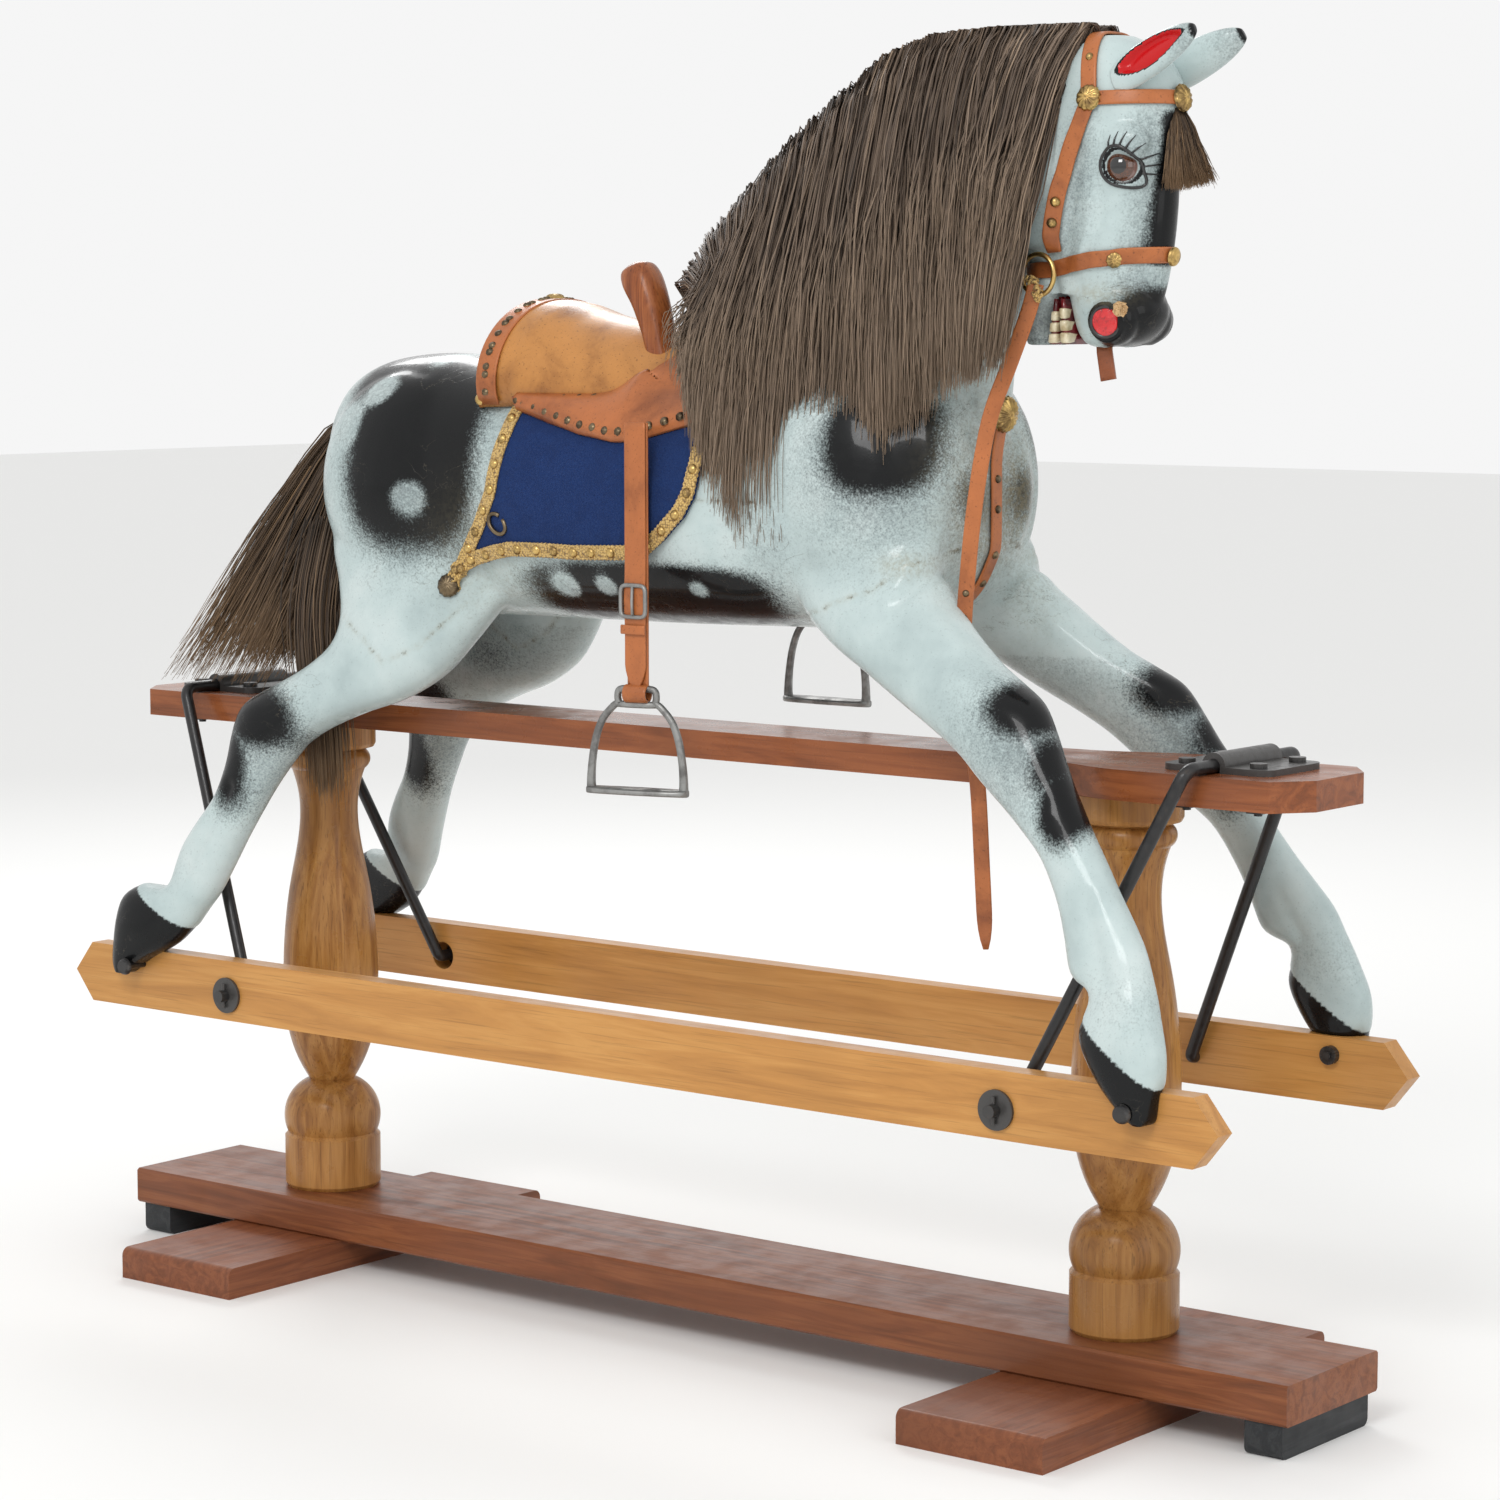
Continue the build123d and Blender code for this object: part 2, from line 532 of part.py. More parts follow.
def build_saddle(body, neck, legs):
    cloth_top = body_form(CLOTH)
    saddle = saddle_form() - cloth_top - neck
    seat = saddle & side_prism(SEAT, -200, 200)
    saddle_peg = max((peg() - seat - cloth_top).solids(), key=lambda s: s.volume)
    skirts = (saddle & side_prism(SKIRT_EDGE, -200, 200)) - seat - saddle_peg
    for side, x, slot_z, yaw in STIRRUPS.values():
        skirts += skirt_lip(side, x) - cloth_top
    skirts = group([s for s in skirts.solids() if s.volume > 2000])
    cloth = strap(cloth_top, body, CLOTH_EDGE) - neck
    for leg in legs:
        cloth -= leg
    outline = side_prism(CLOTH_EDGE, -200, 200)
    inner_face = offset(Face(Wire.make_polygon([Vector(x, 0, z) for x, z in CLOTH_EDGE], close=True)), -16)
    window = extrude(inner_face, amount=400, dir=(0, 1, 0), both=True)
    braid = (((body_form(CLOTH + BRAID) & outline) - window) - cloth_top) - seat - skirts - saddle_peg - neck
    for leg in legs:
        braid -= leg
    save("saddle_seat", seat)
    save("saddle_skirts", skirts)
    save("saddle_peg", saddle_peg)
    save("saddle_cloth", cloth)
    save("cloth_braid", group([s for s in braid.solids() if s.volume > 500]))
    nails = []
    for x, z, y in ((-140, 962, 118), (-105, 969, 114), (-70, 975, 110), (-35, 981, 106), (0, 986, 102)):
        nails += both_sides(Pos(x, -y, z) * Sphere(4))
    for x, z, y in ((-120, 942, 121), (-80, 927, 121), (-40, 916, 121), (5, 912, 120), (88, 940, 117)):
        nails += both_sides(Pos(x, -y, z) * Sphere(4))
    nails = trimmed([n.solid() for n in nails], saddle, cloth_top)
    save("saddle_nails", group([n for n in nails if n.volume > 8]))
    return saddle, saddle_peg


def build_bridle(head, neck, body, ears, saddle, saddle_peg):
    strap_top = head_form(STRAP)
    noseband = strap(strap_top, head, ribbon([(400, 1070), (575, 1084)], 7))
    noseband -= side_prism(MOUTH, -80, 80)
    browband = strap(strap_top, head, ribbon([(497, 1222), (600, 1226)], 7)) - ears[0] - ears[1]
    cheeks = strap(strap_top, head, ribbon([(502, 1214), (478, 1150), (458, 1078)],
        6.5)) - noseband - browband
    crown = strap(strap_top, head, ribbon([(502, 1214), (500, 1260), (498, 1310)], 6.5)) - ears[0] - ears[1]
    crown = crown - browband - cheeks - neck
    save("bridle_noseband", noseband)
    save("bridle_browband", browband)
    save("bridle_cheeks", group([s for s in cheeks.solids() if s.volume > 200]))
    save("bridle_crown", group([s for s in crown.solids() if s.volume > 200]))
    shell = head_form(STRAP)
    rosettes = [d - shell for d in both_sides(rod((502, -40, 1222), (502, -57, 1222), 11.5))]
    front_disc = rod((540, 0, 1224), (574, 0, 1224), 12.5) - shell
    nose_disc = rod((530, 0, 1081), (556, 0, 1081), 9) - shell
    save("bridle_rosettes", group(rosettes + [front_disc, nose_disc]))
    ring = Pos(438, -43, 1060) * Rot(90, 0, 0) * Torus(19, 2.5)
    save("bit_rings", group([r - shell for r in both_sides(ring)]))

    chest = body_form(STRAP)
    collar = ribbon([(372, 912), (352, 952), (326, 1003), (262, 1045), (180, 1040)], 8)
    arms = (strap(chest, body, collar) + strap(neck_form(STRAP), neck, collar)) - neck - body - head
    girth = strap(chest, body, [(300, 700), (420, 700), (420, 905), (300, 905)], -7.5, 7.5) - arms - neck
    rosette = rod((340, 0, 922), (371, 0, 922), 16) - chest - neck_form(STRAP)
    save("breast_strap_arms", group([s for s in arms.solids() if s.volume > 300]))
    save("breast_strap_girth", group([s for s in girth.solids() if s.volume > 300]) if girth else girth)
    save("breast_rosette", group([max(rosette.solids(), key=lambda s: s.volume)]))

    path = Polyline((436, -47, 1040), (412, -66, 960), (406, -74, 860), (408, -77, 640), (412, -77, 430))
    rein = sweep(Plane(origin=path @ 0, z_dir=path % 0) * Rectangle(2.4, 15), path,
        transition=Transition.RIGHT)
    save("rein", rein - foreleg_form() - chest)

    near = [(-20, 1066), (80, 1160), (190, 1250), (260, 1290), (320, 1300), (395, 1300), (470, 1288),
        (486, 1210),
            (470, 1100), (410, 1000), (377, 996), (326, 950), (232, 852), (184, 840), (120, 872), (100,
                930),
            (60, 1010)]
    far = [(-20, 1066), (80, 1160), (190, 1250), (260, 1290), (320, 1300), (395, 1300), (470, 1288), (440,
        1200),
           (300, 1090), (200, 1020), (120, 1030)]
    mane = side_prism(near, -114, 0) + side_prism(far, 0, 78)
    mane = mane - neck_form(STRAP + 1) - body_form(CLOTH + BRAID + 0.5) - head_form(STRAP + 5) - saddle
    mane = mane - saddle_peg - rod((438, -46.5, 1060), (438, -39.5, 1060), 22.5)
    save("mane", group([max(mane.solids(), key=lambda s: s.volume)]))
    top, tip = Pos(572, 0, 1213) * Ellipse(4, 11), Pos(583, 4, 1147) * Ellipse(10, 29)
    save("forelock", loft([tip, top]) - head_form(STRAP + 0.5) - front_disc)

    rings = []
    for x, z, slope, depth, half in ((-452, 915, 180, 18, 16), (-500, 908, -160, 26, 24), (-548, 850,
        -118, 42, 40),
                                     (-584, 770, -108, 58, 52), (-610, 694, -100, 66, 54)):
        plane = Plane(origin=(x, 0, z), x_dir=(0, 1, 0), z_dir=(cos(radians(slope)), 0,
            sin(radians(slope))))
        rings.append(plane * Ellipse(half, depth))
    save("tail", loft(rings) - body)


def build_stirrups():
    for name, (side, x, slot_z, yaw) in STIRRUPS.items():
        save("stirrup_leather_" + name, stirrup_leather(side, x, slot_z, yaw))
        save("stirrup_buckle_" + name, stirrup_buckle(side, x, slot_z))
        save("stirrup_iron_" + name, stirrup_iron(side, x, slot_z, yaw))


build_stand()
build_horse()
build_stirrups()
print(len(written), "nodes written")
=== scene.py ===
"""Carved rocking horse on a swing-iron stand: the looks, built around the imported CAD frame.

Row frame in metres: +X towards the nose, +Y towards the horse's left, +Z up.
Shapes below are written in millimetres and scaled by MM when they become meshes.
"""
import math

import bmesh
import bpy
import numpy as np
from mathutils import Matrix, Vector
from mathutils.bvhtree import BVHTree


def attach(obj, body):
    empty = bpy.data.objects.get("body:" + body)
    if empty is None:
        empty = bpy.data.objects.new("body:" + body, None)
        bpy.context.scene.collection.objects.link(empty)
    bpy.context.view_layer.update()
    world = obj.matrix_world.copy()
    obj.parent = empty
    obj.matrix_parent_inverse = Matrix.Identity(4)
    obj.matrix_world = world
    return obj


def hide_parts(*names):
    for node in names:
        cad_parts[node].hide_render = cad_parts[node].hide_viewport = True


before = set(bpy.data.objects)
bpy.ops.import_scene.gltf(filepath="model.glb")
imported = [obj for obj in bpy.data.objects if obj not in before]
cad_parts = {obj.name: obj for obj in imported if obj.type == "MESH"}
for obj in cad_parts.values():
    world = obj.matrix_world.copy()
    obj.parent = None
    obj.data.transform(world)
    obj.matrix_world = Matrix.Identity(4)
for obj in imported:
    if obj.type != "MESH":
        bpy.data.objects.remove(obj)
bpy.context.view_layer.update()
MM = 0.001
rng = np.random.default_rng(7)


# ---------------------------------------------------------------- camera, floor, light
def make_camera():
    """Seen from the near front, a little above."""
    azimuth, pitch = math.radians(38.12), math.radians(-6.24)
    data = bpy.data.cameras.new("camera")
    data.sensor_width = 36.0
    data.lens = 95.95
    data.shift_x = -0.0165
    data.clip_end = 50.0
    cam = bpy.data.objects.new("camera", data)
    bpy.context.collection.objects.link(cam)
    look = Vector((-math.sin(azimuth) * math.cos(pitch), math.cos(azimuth) * math.cos(pitch),
                   math.sin(pitch)))
    cam.location = (2.5544, -3.1273, 1.0310)
    cam.rotation_mode = "QUATERNION"
    cam.rotation_quaternion = look.to_track_quat("-Z", "Y")
    bpy.context.scene.camera = cam


def area_light(name, place, target, size, power):
    data = bpy.data.lights.new(name, "AREA")
    data.shape = "RECTANGLE"
    data.size, data.size_y = size
    data.energy = power
    lamp = bpy.data.objects.new(name, data)
    bpy.context.collection.objects.link(lamp)
    lamp.location = place
    lamp.rotation_mode = "QUATERNION"
    lamp.rotation_quaternion = (Vector(target) - Vector(place)).to_track_quat("-Z", "Y")


def make_studio():
    """Plain pale floor and world, one large key, a fill and a rim light."""
    world = bpy.data.worlds.new("studio")
    world.use_nodes = True
    back = world.node_tree.nodes["Background"]
    back.inputs["Color"].default_value = (1.0, 1.0, 1.0, 1)
    back.inputs["Strength"].default_value = 0.92
    bpy.context.scene.world = world
    bpy.context.scene.view_settings.view_transform = "Standard"
    bpy.ops.mesh.primitive_plane_add(size=40, location=(0, 0, 0))
    floor = bpy.context.object
    floor.name = "floor"
    mat = bpy.data.materials.new("floor")
    mat.use_nodes = True
    shader = mat.node_tree.nodes["Principled BSDF"]
    shader.inputs["Base Color"].default_value = (0.86, 0.86, 0.85, 1)
    shader.inputs["Roughness"].default_value = 0.9
    floor.data.materials.append(mat)
    area_light("key", (1.2, -3.4, 3.3), (0.0, 0, 0.7), (1.6, 1.2), 66)
    area_light("fill", (4.2, -0.8, 1.6), (0.2, 0, 0.8), (2.0, 2.0), 14)
    area_light("rim", (-2.6, 2.4, 2.8), (0, 0, 0.8), (1.5, 1.0), 34)


# ---------------------------------------------------------------- materials
class Paint:
    """A material being built: short calls that add nodes and join them."""

    def __init__(self, name, roughness=0.5, metallic=0.0, **fixed):
        self.material = bpy.data.materials.new(name)
        self.material.use_nodes = True
        self.tree = self.material.node_tree
        self.shader = self.tree.nodes["Principled BSDF"]
        self.shader.inputs["Roughness"].default_value = roughness
        self.shader.inputs["Metallic"].default_value = metallic
        for key, value in fixed.items():
            self.shader.inputs[key.replace("_", " ")].default_value = value

    def node(self, kind, inputs=(), **settings):
        made = self.tree.nodes.new(kind)
        for key, value in settings.items():
            setattr(made, key, value)
        for key, value in dict(inputs).items():
            if isinstance(value, bpy.types.NodeSocket):
                self.tree.links.new(value, made.inputs[key])
            else:
                made.inputs[key].default_value = value
        return made

    def place(self, scale=(1, 1, 1)):
        """Object coordinates, in metres, stretched by scale."""
        coords = self.node("ShaderNodeTexCoord").outputs["Object"]
        return self.node("ShaderNodeMapping", {"Vector": coords, "Scale": scale}).outputs["Vector"]

    def noise(self, scale, detail=3.0, rough=0.55, warp=0.0, stretch=(1, 1, 1)):
        inputs = {"Vector": self.place(stretch), "Scale": scale, "Detail": detail, "Roughness": rough,
                  "Distortion": warp}
        return self.node("ShaderNodeTexNoise", inputs).outputs["Fac"]

    def ramp(self, value, stops):
        """Colour ramp from (position, colour or grey) stops."""
        made = self.node("ShaderNodeValToRGB", {"Fac": value})
        ramp = made.color_ramp
        while len(ramp.elements) < len(stops):
            ramp.elements.new(0.5)
        for element, (at, colour) in zip(ramp.elements, stops):
            element.position = at
            element.color = (colour,) * 3 + (1,) if isinstance(colour, (int, float)) else (*colour, 1)
        return made.outputs["Color"]

    def mix(self, factor, first, second):
        made = self.tree.nodes.new("ShaderNodeMix")
        made.data_type = "RGBA"
        for socket, value in ((made.inputs[0], factor), (made.inputs[6], first), (made.inputs[7], second)):
            if isinstance(value, bpy.types.NodeSocket):
                self.tree.links.new(value, socket)
            elif isinstance(value, tuple):
                socket.default_value = (*value, 1)
            else:
                socket.default_value = value
        return made.outputs[2]

    def math(self, operation, first, second=0.0):
        made = self.node("ShaderNodeMath", operation=operation)
        for socket, value in zip(made.inputs, (first, second)):
            if isinstance(value, bpy.types.NodeSocket):
                self.tree.links.new(value, socket)
            else:
                socket.default_value = value
        return made.outputs[0]

    def spread(self, value, low, high, out_low=0.0, out_high=1.0):
        """Smooth step of a value between low and high."""
        inputs = {"Value": value, "From Min": low, "From Max": high, "To Min": out_low, "To Max": out_high}
        return self.node("ShaderNodeMapRange", inputs, interpolation_type="SMOOTHSTEP").outputs["Result"]

    def attribute(self, name):
        return self.node("ShaderNodeAttribute", attribute_name=name).outputs["Fac"]

    def worn_edges(self, low=0.51, high=0.56):
        """One on sharp convex edges, from how pointed the surface is."""
        return self.spread(self.node("ShaderNodeNewGeometry").outputs["Pointiness"], low, high)

    def finish(self, colour=None, roughness=None, bump=None, bump_distance=0.001, strength=0.5):
        for key, value in (("Base Color", colour), ("Roughness", roughness)):
            if value is not None:
                self.tree.links.new(value, self.shader.inputs[key])
        if bump is not None:
            inputs = {"Height": bump, "Strength": strength, "Distance": bump_distance}
            normal = self.node("ShaderNodeBump", inputs).outputs["Normal"]
            self.tree.links.new(normal, self.shader.inputs["Normal"])
        return self.material


def wood(name, dark, mid, light, along="x", gloss=0.3, figure=1.0, grime=0.5):
    """Varnished wood: growth bands and fine pores drawn out along the grain, with grime and worn edges."""
    paint = Paint(name, Coat_Weight=0.12, Coat_Roughness=0.16, Specular_IOR_Level=0.3)
    thin = {"x": (1.0, 14.0, 14.0), "y": (14.0, 1.0, 14.0), "z": (14.0, 14.0, 1.0)}[along]
    pores = {"x": (1.0, 55.0, 55.0), "y": (55.0, 1.0, 55.0), "z": (55.0, 55.0, 1.0)}[along]
    bands = paint.noise(4.2 * figure, 5.0, 0.6, 1.6, thin)
    fine = paint.noise(9.0, 3.0, 0.6, 0.3, pores)
    patches = paint.noise(3.0, 3.0)
    colour = paint.ramp(bands, [(0.30, dark), (0.47, mid), (0.60, light), (0.74, mid)])
    colour = paint.mix(paint.spread(fine, 0.54, 0.70, 0.0, 0.55), colour, tuple(c * 0.42 for c in dark))
    colour = paint.mix(paint.spread(patches, 0.45, 0.75, 0.0, grime), colour, tuple(c * 0.45 for c in mid))
    edge = paint.worn_edges(0.52, 0.60)
    colour = paint.mix(paint.math("MULTIPLY", edge, 0.35), colour, tuple(min(1, c * 1.25) for c in light))
    rough = paint.spread(paint.noise(26.0, 4.0), 0.3, 0.75, gloss, gloss + 0.22)
    height = paint.math("ADD", paint.math("MULTIPLY", fine, 0.6), paint.math("MULTIPLY", bands, 0.4))
    return paint.finish(colour, rough, height, 0.0006, 0.35)


def leather(name, base, dark, gloss=0.32, cracks=0.4):
    """Waxed hide: pebbled grain, darker handling marks and lighter worn edges."""
    paint = Paint(name, Coat_Weight=0.15, Coat_Roughness=0.25, Specular_IOR_Level=0.35)
    blotch = paint.noise(16.0, 5.0, 0.62, 0.4)
    freckle = paint.noise(420.0, 2.0)
    cells = paint.node("ShaderNodeTexVoronoi",
                       {"Vector": paint.place(), "Scale": 900.0}).outputs["Distance"]
    colour = paint.ramp(blotch, [(0.28, dark), (0.5, base), (0.72, tuple(min(1, c * 1.18) for c in base))])
    colour = paint.mix(paint.spread(freckle, 0.60, 0.74, 0.0, 0.55), colour, tuple(c * 0.35 for c in dark))
    colour = paint.mix(paint.math("MULTIPLY", paint.worn_edges(0.53, 0.62), 0.4), colour,
                       tuple(min(1, c * 1.5 + 0.03) for c in base))
    crease = paint.spread(paint.noise(70.0, 6.0, 0.7, 1.2), 0.47, 0.50, 0.0, 1.0)
    colour = paint.mix(paint.math("MULTIPLY", crease, 0.10 * cracks), colour, dark)
    rough = paint.spread(blotch, 0.3, 0.7, gloss, gloss + 0.18)
    height = paint.math("ADD", paint.math("MULTIPLY", cells, 0.5),
                        paint.math("MULTIPLY", crease, 0.3 * cracks))
    return paint.finish(colour, rough, height, 0.0004, 0.35)


def metal(name, base, dull, roughness=0.35, metallic=1.0):
    """Handled metal: tarnish in patches, bright on its edges, lightly pitted."""
    paint = Paint(name, roughness, metallic)
    tarnish = paint.noise(55.0, 5.0, 0.65)
    colour = paint.mix(paint.spread(tarnish, 0.38, 0.66), base, dull)
    colour = paint.mix(paint.math("MULTIPLY", paint.worn_edges(0.52, 0.60), 0.6), colour,
                       tuple(min(1, c * 1.3 + 0.02) for c in base))
    rough = paint.spread(tarnish, 0.35, 0.7, roughness, min(1, roughness + 0.25))
    return paint.finish(colour, rough, paint.noise(600.0, 3.0), 0.0003, 0.15)


def felt():
    """Navy felt: matted fibres and a soft nap."""
    paint = Paint("felt", 0.95, Sheen_Weight=0.06, Sheen_Roughness=0.5, Specular_IOR_Level=0.08)
    fibres = paint.noise(900.0, 4.0, 0.7, 1.5)
    mottled = paint.noise(60.0, 4.0)
    colour = paint.ramp(fibres, [(0.3, (0.004, 0.012, 0.05)), (0.52, (0.010, 0.032, 0.125)),
                                 (0.75, (0.035, 0.075, 0.22))])
    colour = paint.mix(paint.spread(mottled, 0.4, 0.7, 0.0, 0.4), colour, (0.008, 0.022, 0.085))
    return paint.finish(colour, None, fibres, 0.0012, 0.8)


def braid_cloth():
    """Gold worsted: small twisted loops, each painted bright at its middle and dark where it meets the
    next, as painted highlight and painted shade.
    """
    paint = Paint("braid", 0.7, Sheen_Weight=0.2)
    loops = paint.node("ShaderNodeTexVoronoi",
                       {"Vector": paint.place(), "Scale": 420.0, "Randomness": 0.75})
    # colour by distance from each loop's middle: painted highlight on the loop tops, painted shade in the
    # gaps between loops
    colour = paint.ramp(loops.outputs["Distance"], [(0.0, (0.78, 0.56, 0.22)), (0.45, (0.55, 0.35, 0.10)),
                                                    (0.8, (0.16, 0.09, 0.03))])
    colour = paint.mix(paint.spread(paint.noise(40.0), 0.4, 0.7, 0.0, 0.35), colour, (0.35, 0.23, 0.09))
    height = paint.math("SUBTRACT", 1.0, loops.outputs["Distance"])
    return paint.finish(colour, None, height, 0.0015, 0.9)


def hair(name, dark, mid, light, tips):
    """Real horse hair: each strand has its own tone, paler towards its tip, and darkened near its root as
    painted shade.
    """
    paint = Paint(name, 0.5, Specular_IOR_Level=0.3)
    tone = paint.attribute("tone")
    along = paint.attribute("along")
    streak = paint.noise(90.0, 3.0, 0.6, 0.0, (1, 1, 0.25))
    value = paint.math("ADD", paint.math("MULTIPLY", tone, 0.75), paint.math("MULTIPLY", streak, 0.25))
    colour = paint.ramp(value, [(0.12, dark), (0.42, mid), (0.72, light), (0.95, tips)])
    colour = paint.mix(paint.spread(along, 0.55, 1.0, 0.0, 0.45), colour, tips)
    # darker near the root: painted shade where the strands crowd together at their roots
    colour = paint.mix(paint.spread(along, 0.0, 0.25, 0.5, 0.0), colour, dark)
    return paint.finish(colour)


def dapple():
    """Dapple-grey paint: airbrushed black and white over pale blue-grey, sponge speckle, crazed varnish."""
    paint = Paint("dapple", Coat_Weight=0.24, Coat_Roughness=0.07, Specular_IOR_Level=0.12)
    black, grey, warm = paint.attribute("black"), paint.attribute("grey"), paint.attribute("warm")
    speck = paint.noise(520.0, 2.0, 0.6)
    grain = paint.noise(210.0, 3.0, 0.7)
    cloud = paint.noise(9.0, 4.0, 0.6)
    base = paint.ramp(cloud, [(0.3, (0.37, 0.45, 0.45)), (0.5, (0.47, 0.56, 0.555)),
                              (0.7, (0.56, 0.635, 0.625))])
    sponge = paint.math("ADD", grey, paint.math("MULTIPLY", paint.math("SUBTRACT", grain, 0.5), 0.55))
    sponge = paint.math("ADD", sponge, paint.math("MULTIPLY", paint.math("SUBTRACT", speck, 0.5), 0.75))
    colour = paint.mix(paint.spread(sponge, 0.12, 0.85, 0.0, 0.72), base, (0.075, 0.088, 0.095))
    colour = paint.mix(paint.spread(speck, 0.62, 0.78, 0.0, 0.28), colour, (0.12, 0.14, 0.145))
    soft = paint.math("ADD", black, paint.math("MULTIPLY", paint.math("SUBTRACT", speck, 0.5), 0.55))
    soft = paint.math("ADD", soft, paint.math("MULTIPLY", paint.math("SUBTRACT", grain, 0.5), 0.25))
    colour = paint.mix(paint.spread(soft, 0.26, 0.80), colour, (0.005, 0.0055, 0.006))
    colour = paint.mix(paint.math("MULTIPLY", warm, paint.spread(grain, 0.35, 0.65, 0.3, 1.0)), colour,
                       (0.30, 0.26, 0.16))
    crack_field = paint.noise(14.0, 5.0, 0.55, 0.8, (1.0, 1.0, 1.6))
    near_line = paint.math("ABSOLUTE", paint.math("SUBTRACT", crack_field, 0.52))
    crack = paint.spread(near_line, 0.0, 0.0035, 1.0, 0.0)
    where = paint.spread(paint.noise(7.0, 2.0), 0.53, 0.62)
    crack = paint.math("MULTIPLY", crack, where)
    colour = paint.mix(paint.math("MULTIPLY", crack, 0.55), colour, (0.10, 0.085, 0.06))
    red = paint.attribute("red")
    colour = paint.mix(paint.spread(red, 0.45, 0.55), colour, (0.50, 0.008, 0.010))
    rough = paint.spread(paint.noise(60.0, 4.0), 0.35, 0.75, 0.24, 0.42)
    height = paint.math("SUBTRACT", paint.math("MULTIPLY", speck, 0.25), crack)
    return paint.finish(colour, rough, height, 0.0007, 0.4)


def tooth_paint():
    paint = Paint("teeth", 0.35, Coat_Weight=0.3)
    stain = paint.noise(90.0, 4.0)
    colour = paint.ramp(stain, [(0.35, (0.42, 0.33, 0.18)), (0.55, (0.66, 0.58, 0.40)),
                                (0.7, (0.74, 0.67, 0.50))])
    return paint.finish(colour, None, stain, 0.0004, 0.3)


def gum_paint():
    paint = Paint("gums", 0.3, Coat_Weight=0.5)
    tone = paint.noise(80.0, 4.0)
    colour = paint.ramp(tone, [(0.35, (0.05, 0.004, 0.006)), (0.65, (0.20, 0.010, 0.014))])
    return paint.finish(colour, None, tone, 0.0004, 0.3)


def nostril_paint():
    """Bright red gloss with brush marks."""
    paint = Paint("nostril_red", 0.14, Coat_Weight=0.7, Coat_Roughness=0.05)
    tone = paint.noise(160.0, 4.0, 0.6, 0.8)
    colour = paint.ramp(tone, [(0.32, (0.26, 0.002, 0.004)), (0.5, (0.56, 0.006, 0.010)),
                               (0.75, (0.68, 0.03, 0.03))])
    return paint.finish(colour, None, tone, 0.0016, 0.9)


def ink():
    paint = Paint("black_line", 0.3, Coat_Weight=0.5)
    tone = paint.noise(300.0, 3.0)
    colour = paint.ramp(tone, [(0.3, (0.004, 0.004, 0.005)), (0.7, (0.018, 0.017, 0.016))])
    return paint.finish(colour, None, tone, 0.0002, 0.2)


def eye_glass():
    """Brown iris and black pupil under clear glass, drawn by distance from the eye's outward axis."""
    paint = Paint("eye_glass", 0.04, Coat_Weight=1.0, Coat_Roughness=0.02)
    ring = paint.attribute("ring")
    rays = paint.noise(900.0, 3.0)
    iris = paint.ramp(rays, [(0.35, (0.030, 0.010, 0.005)), (0.65, (0.13, 0.045, 0.018))])
    colour = paint.mix(paint.spread(ring, 0.44, 0.49), (0.003, 0.003, 0.003), iris)
    colour = paint.mix(paint.spread(ring, 0.78, 0.86), colour, (0.20, 0.11, 0.09))
    colour = paint.mix(paint.spread(ring, 0.92, 0.97), colour, (0.50, 0.50, 0.47))
    return paint.finish(colour)


def cast_black():
    paint = Paint("cast_black", 0.42, 0.15, Coat_Weight=0.15)
    tone = paint.noise(120.0, 5.0, 0.7)
    colour = paint.ramp(tone, [(0.3, (0.006, 0.006, 0.007)), (0.6, (0.016, 0.015, 0.015)),
                               (0.8, (0.05, 0.035, 0.026))])
    colour = paint.mix(paint.math("MULTIPLY", paint.worn_edges(0.53, 0.62), 0.5), colour,
                       (0.09, 0.085, 0.08))
    rough = paint.spread(tone, 0.3, 0.8, 0.32, 0.6)
    return paint.finish(colour, rough, paint.noise(450.0, 4.0), 0.0005, 0.4)


MATERIALS = {}


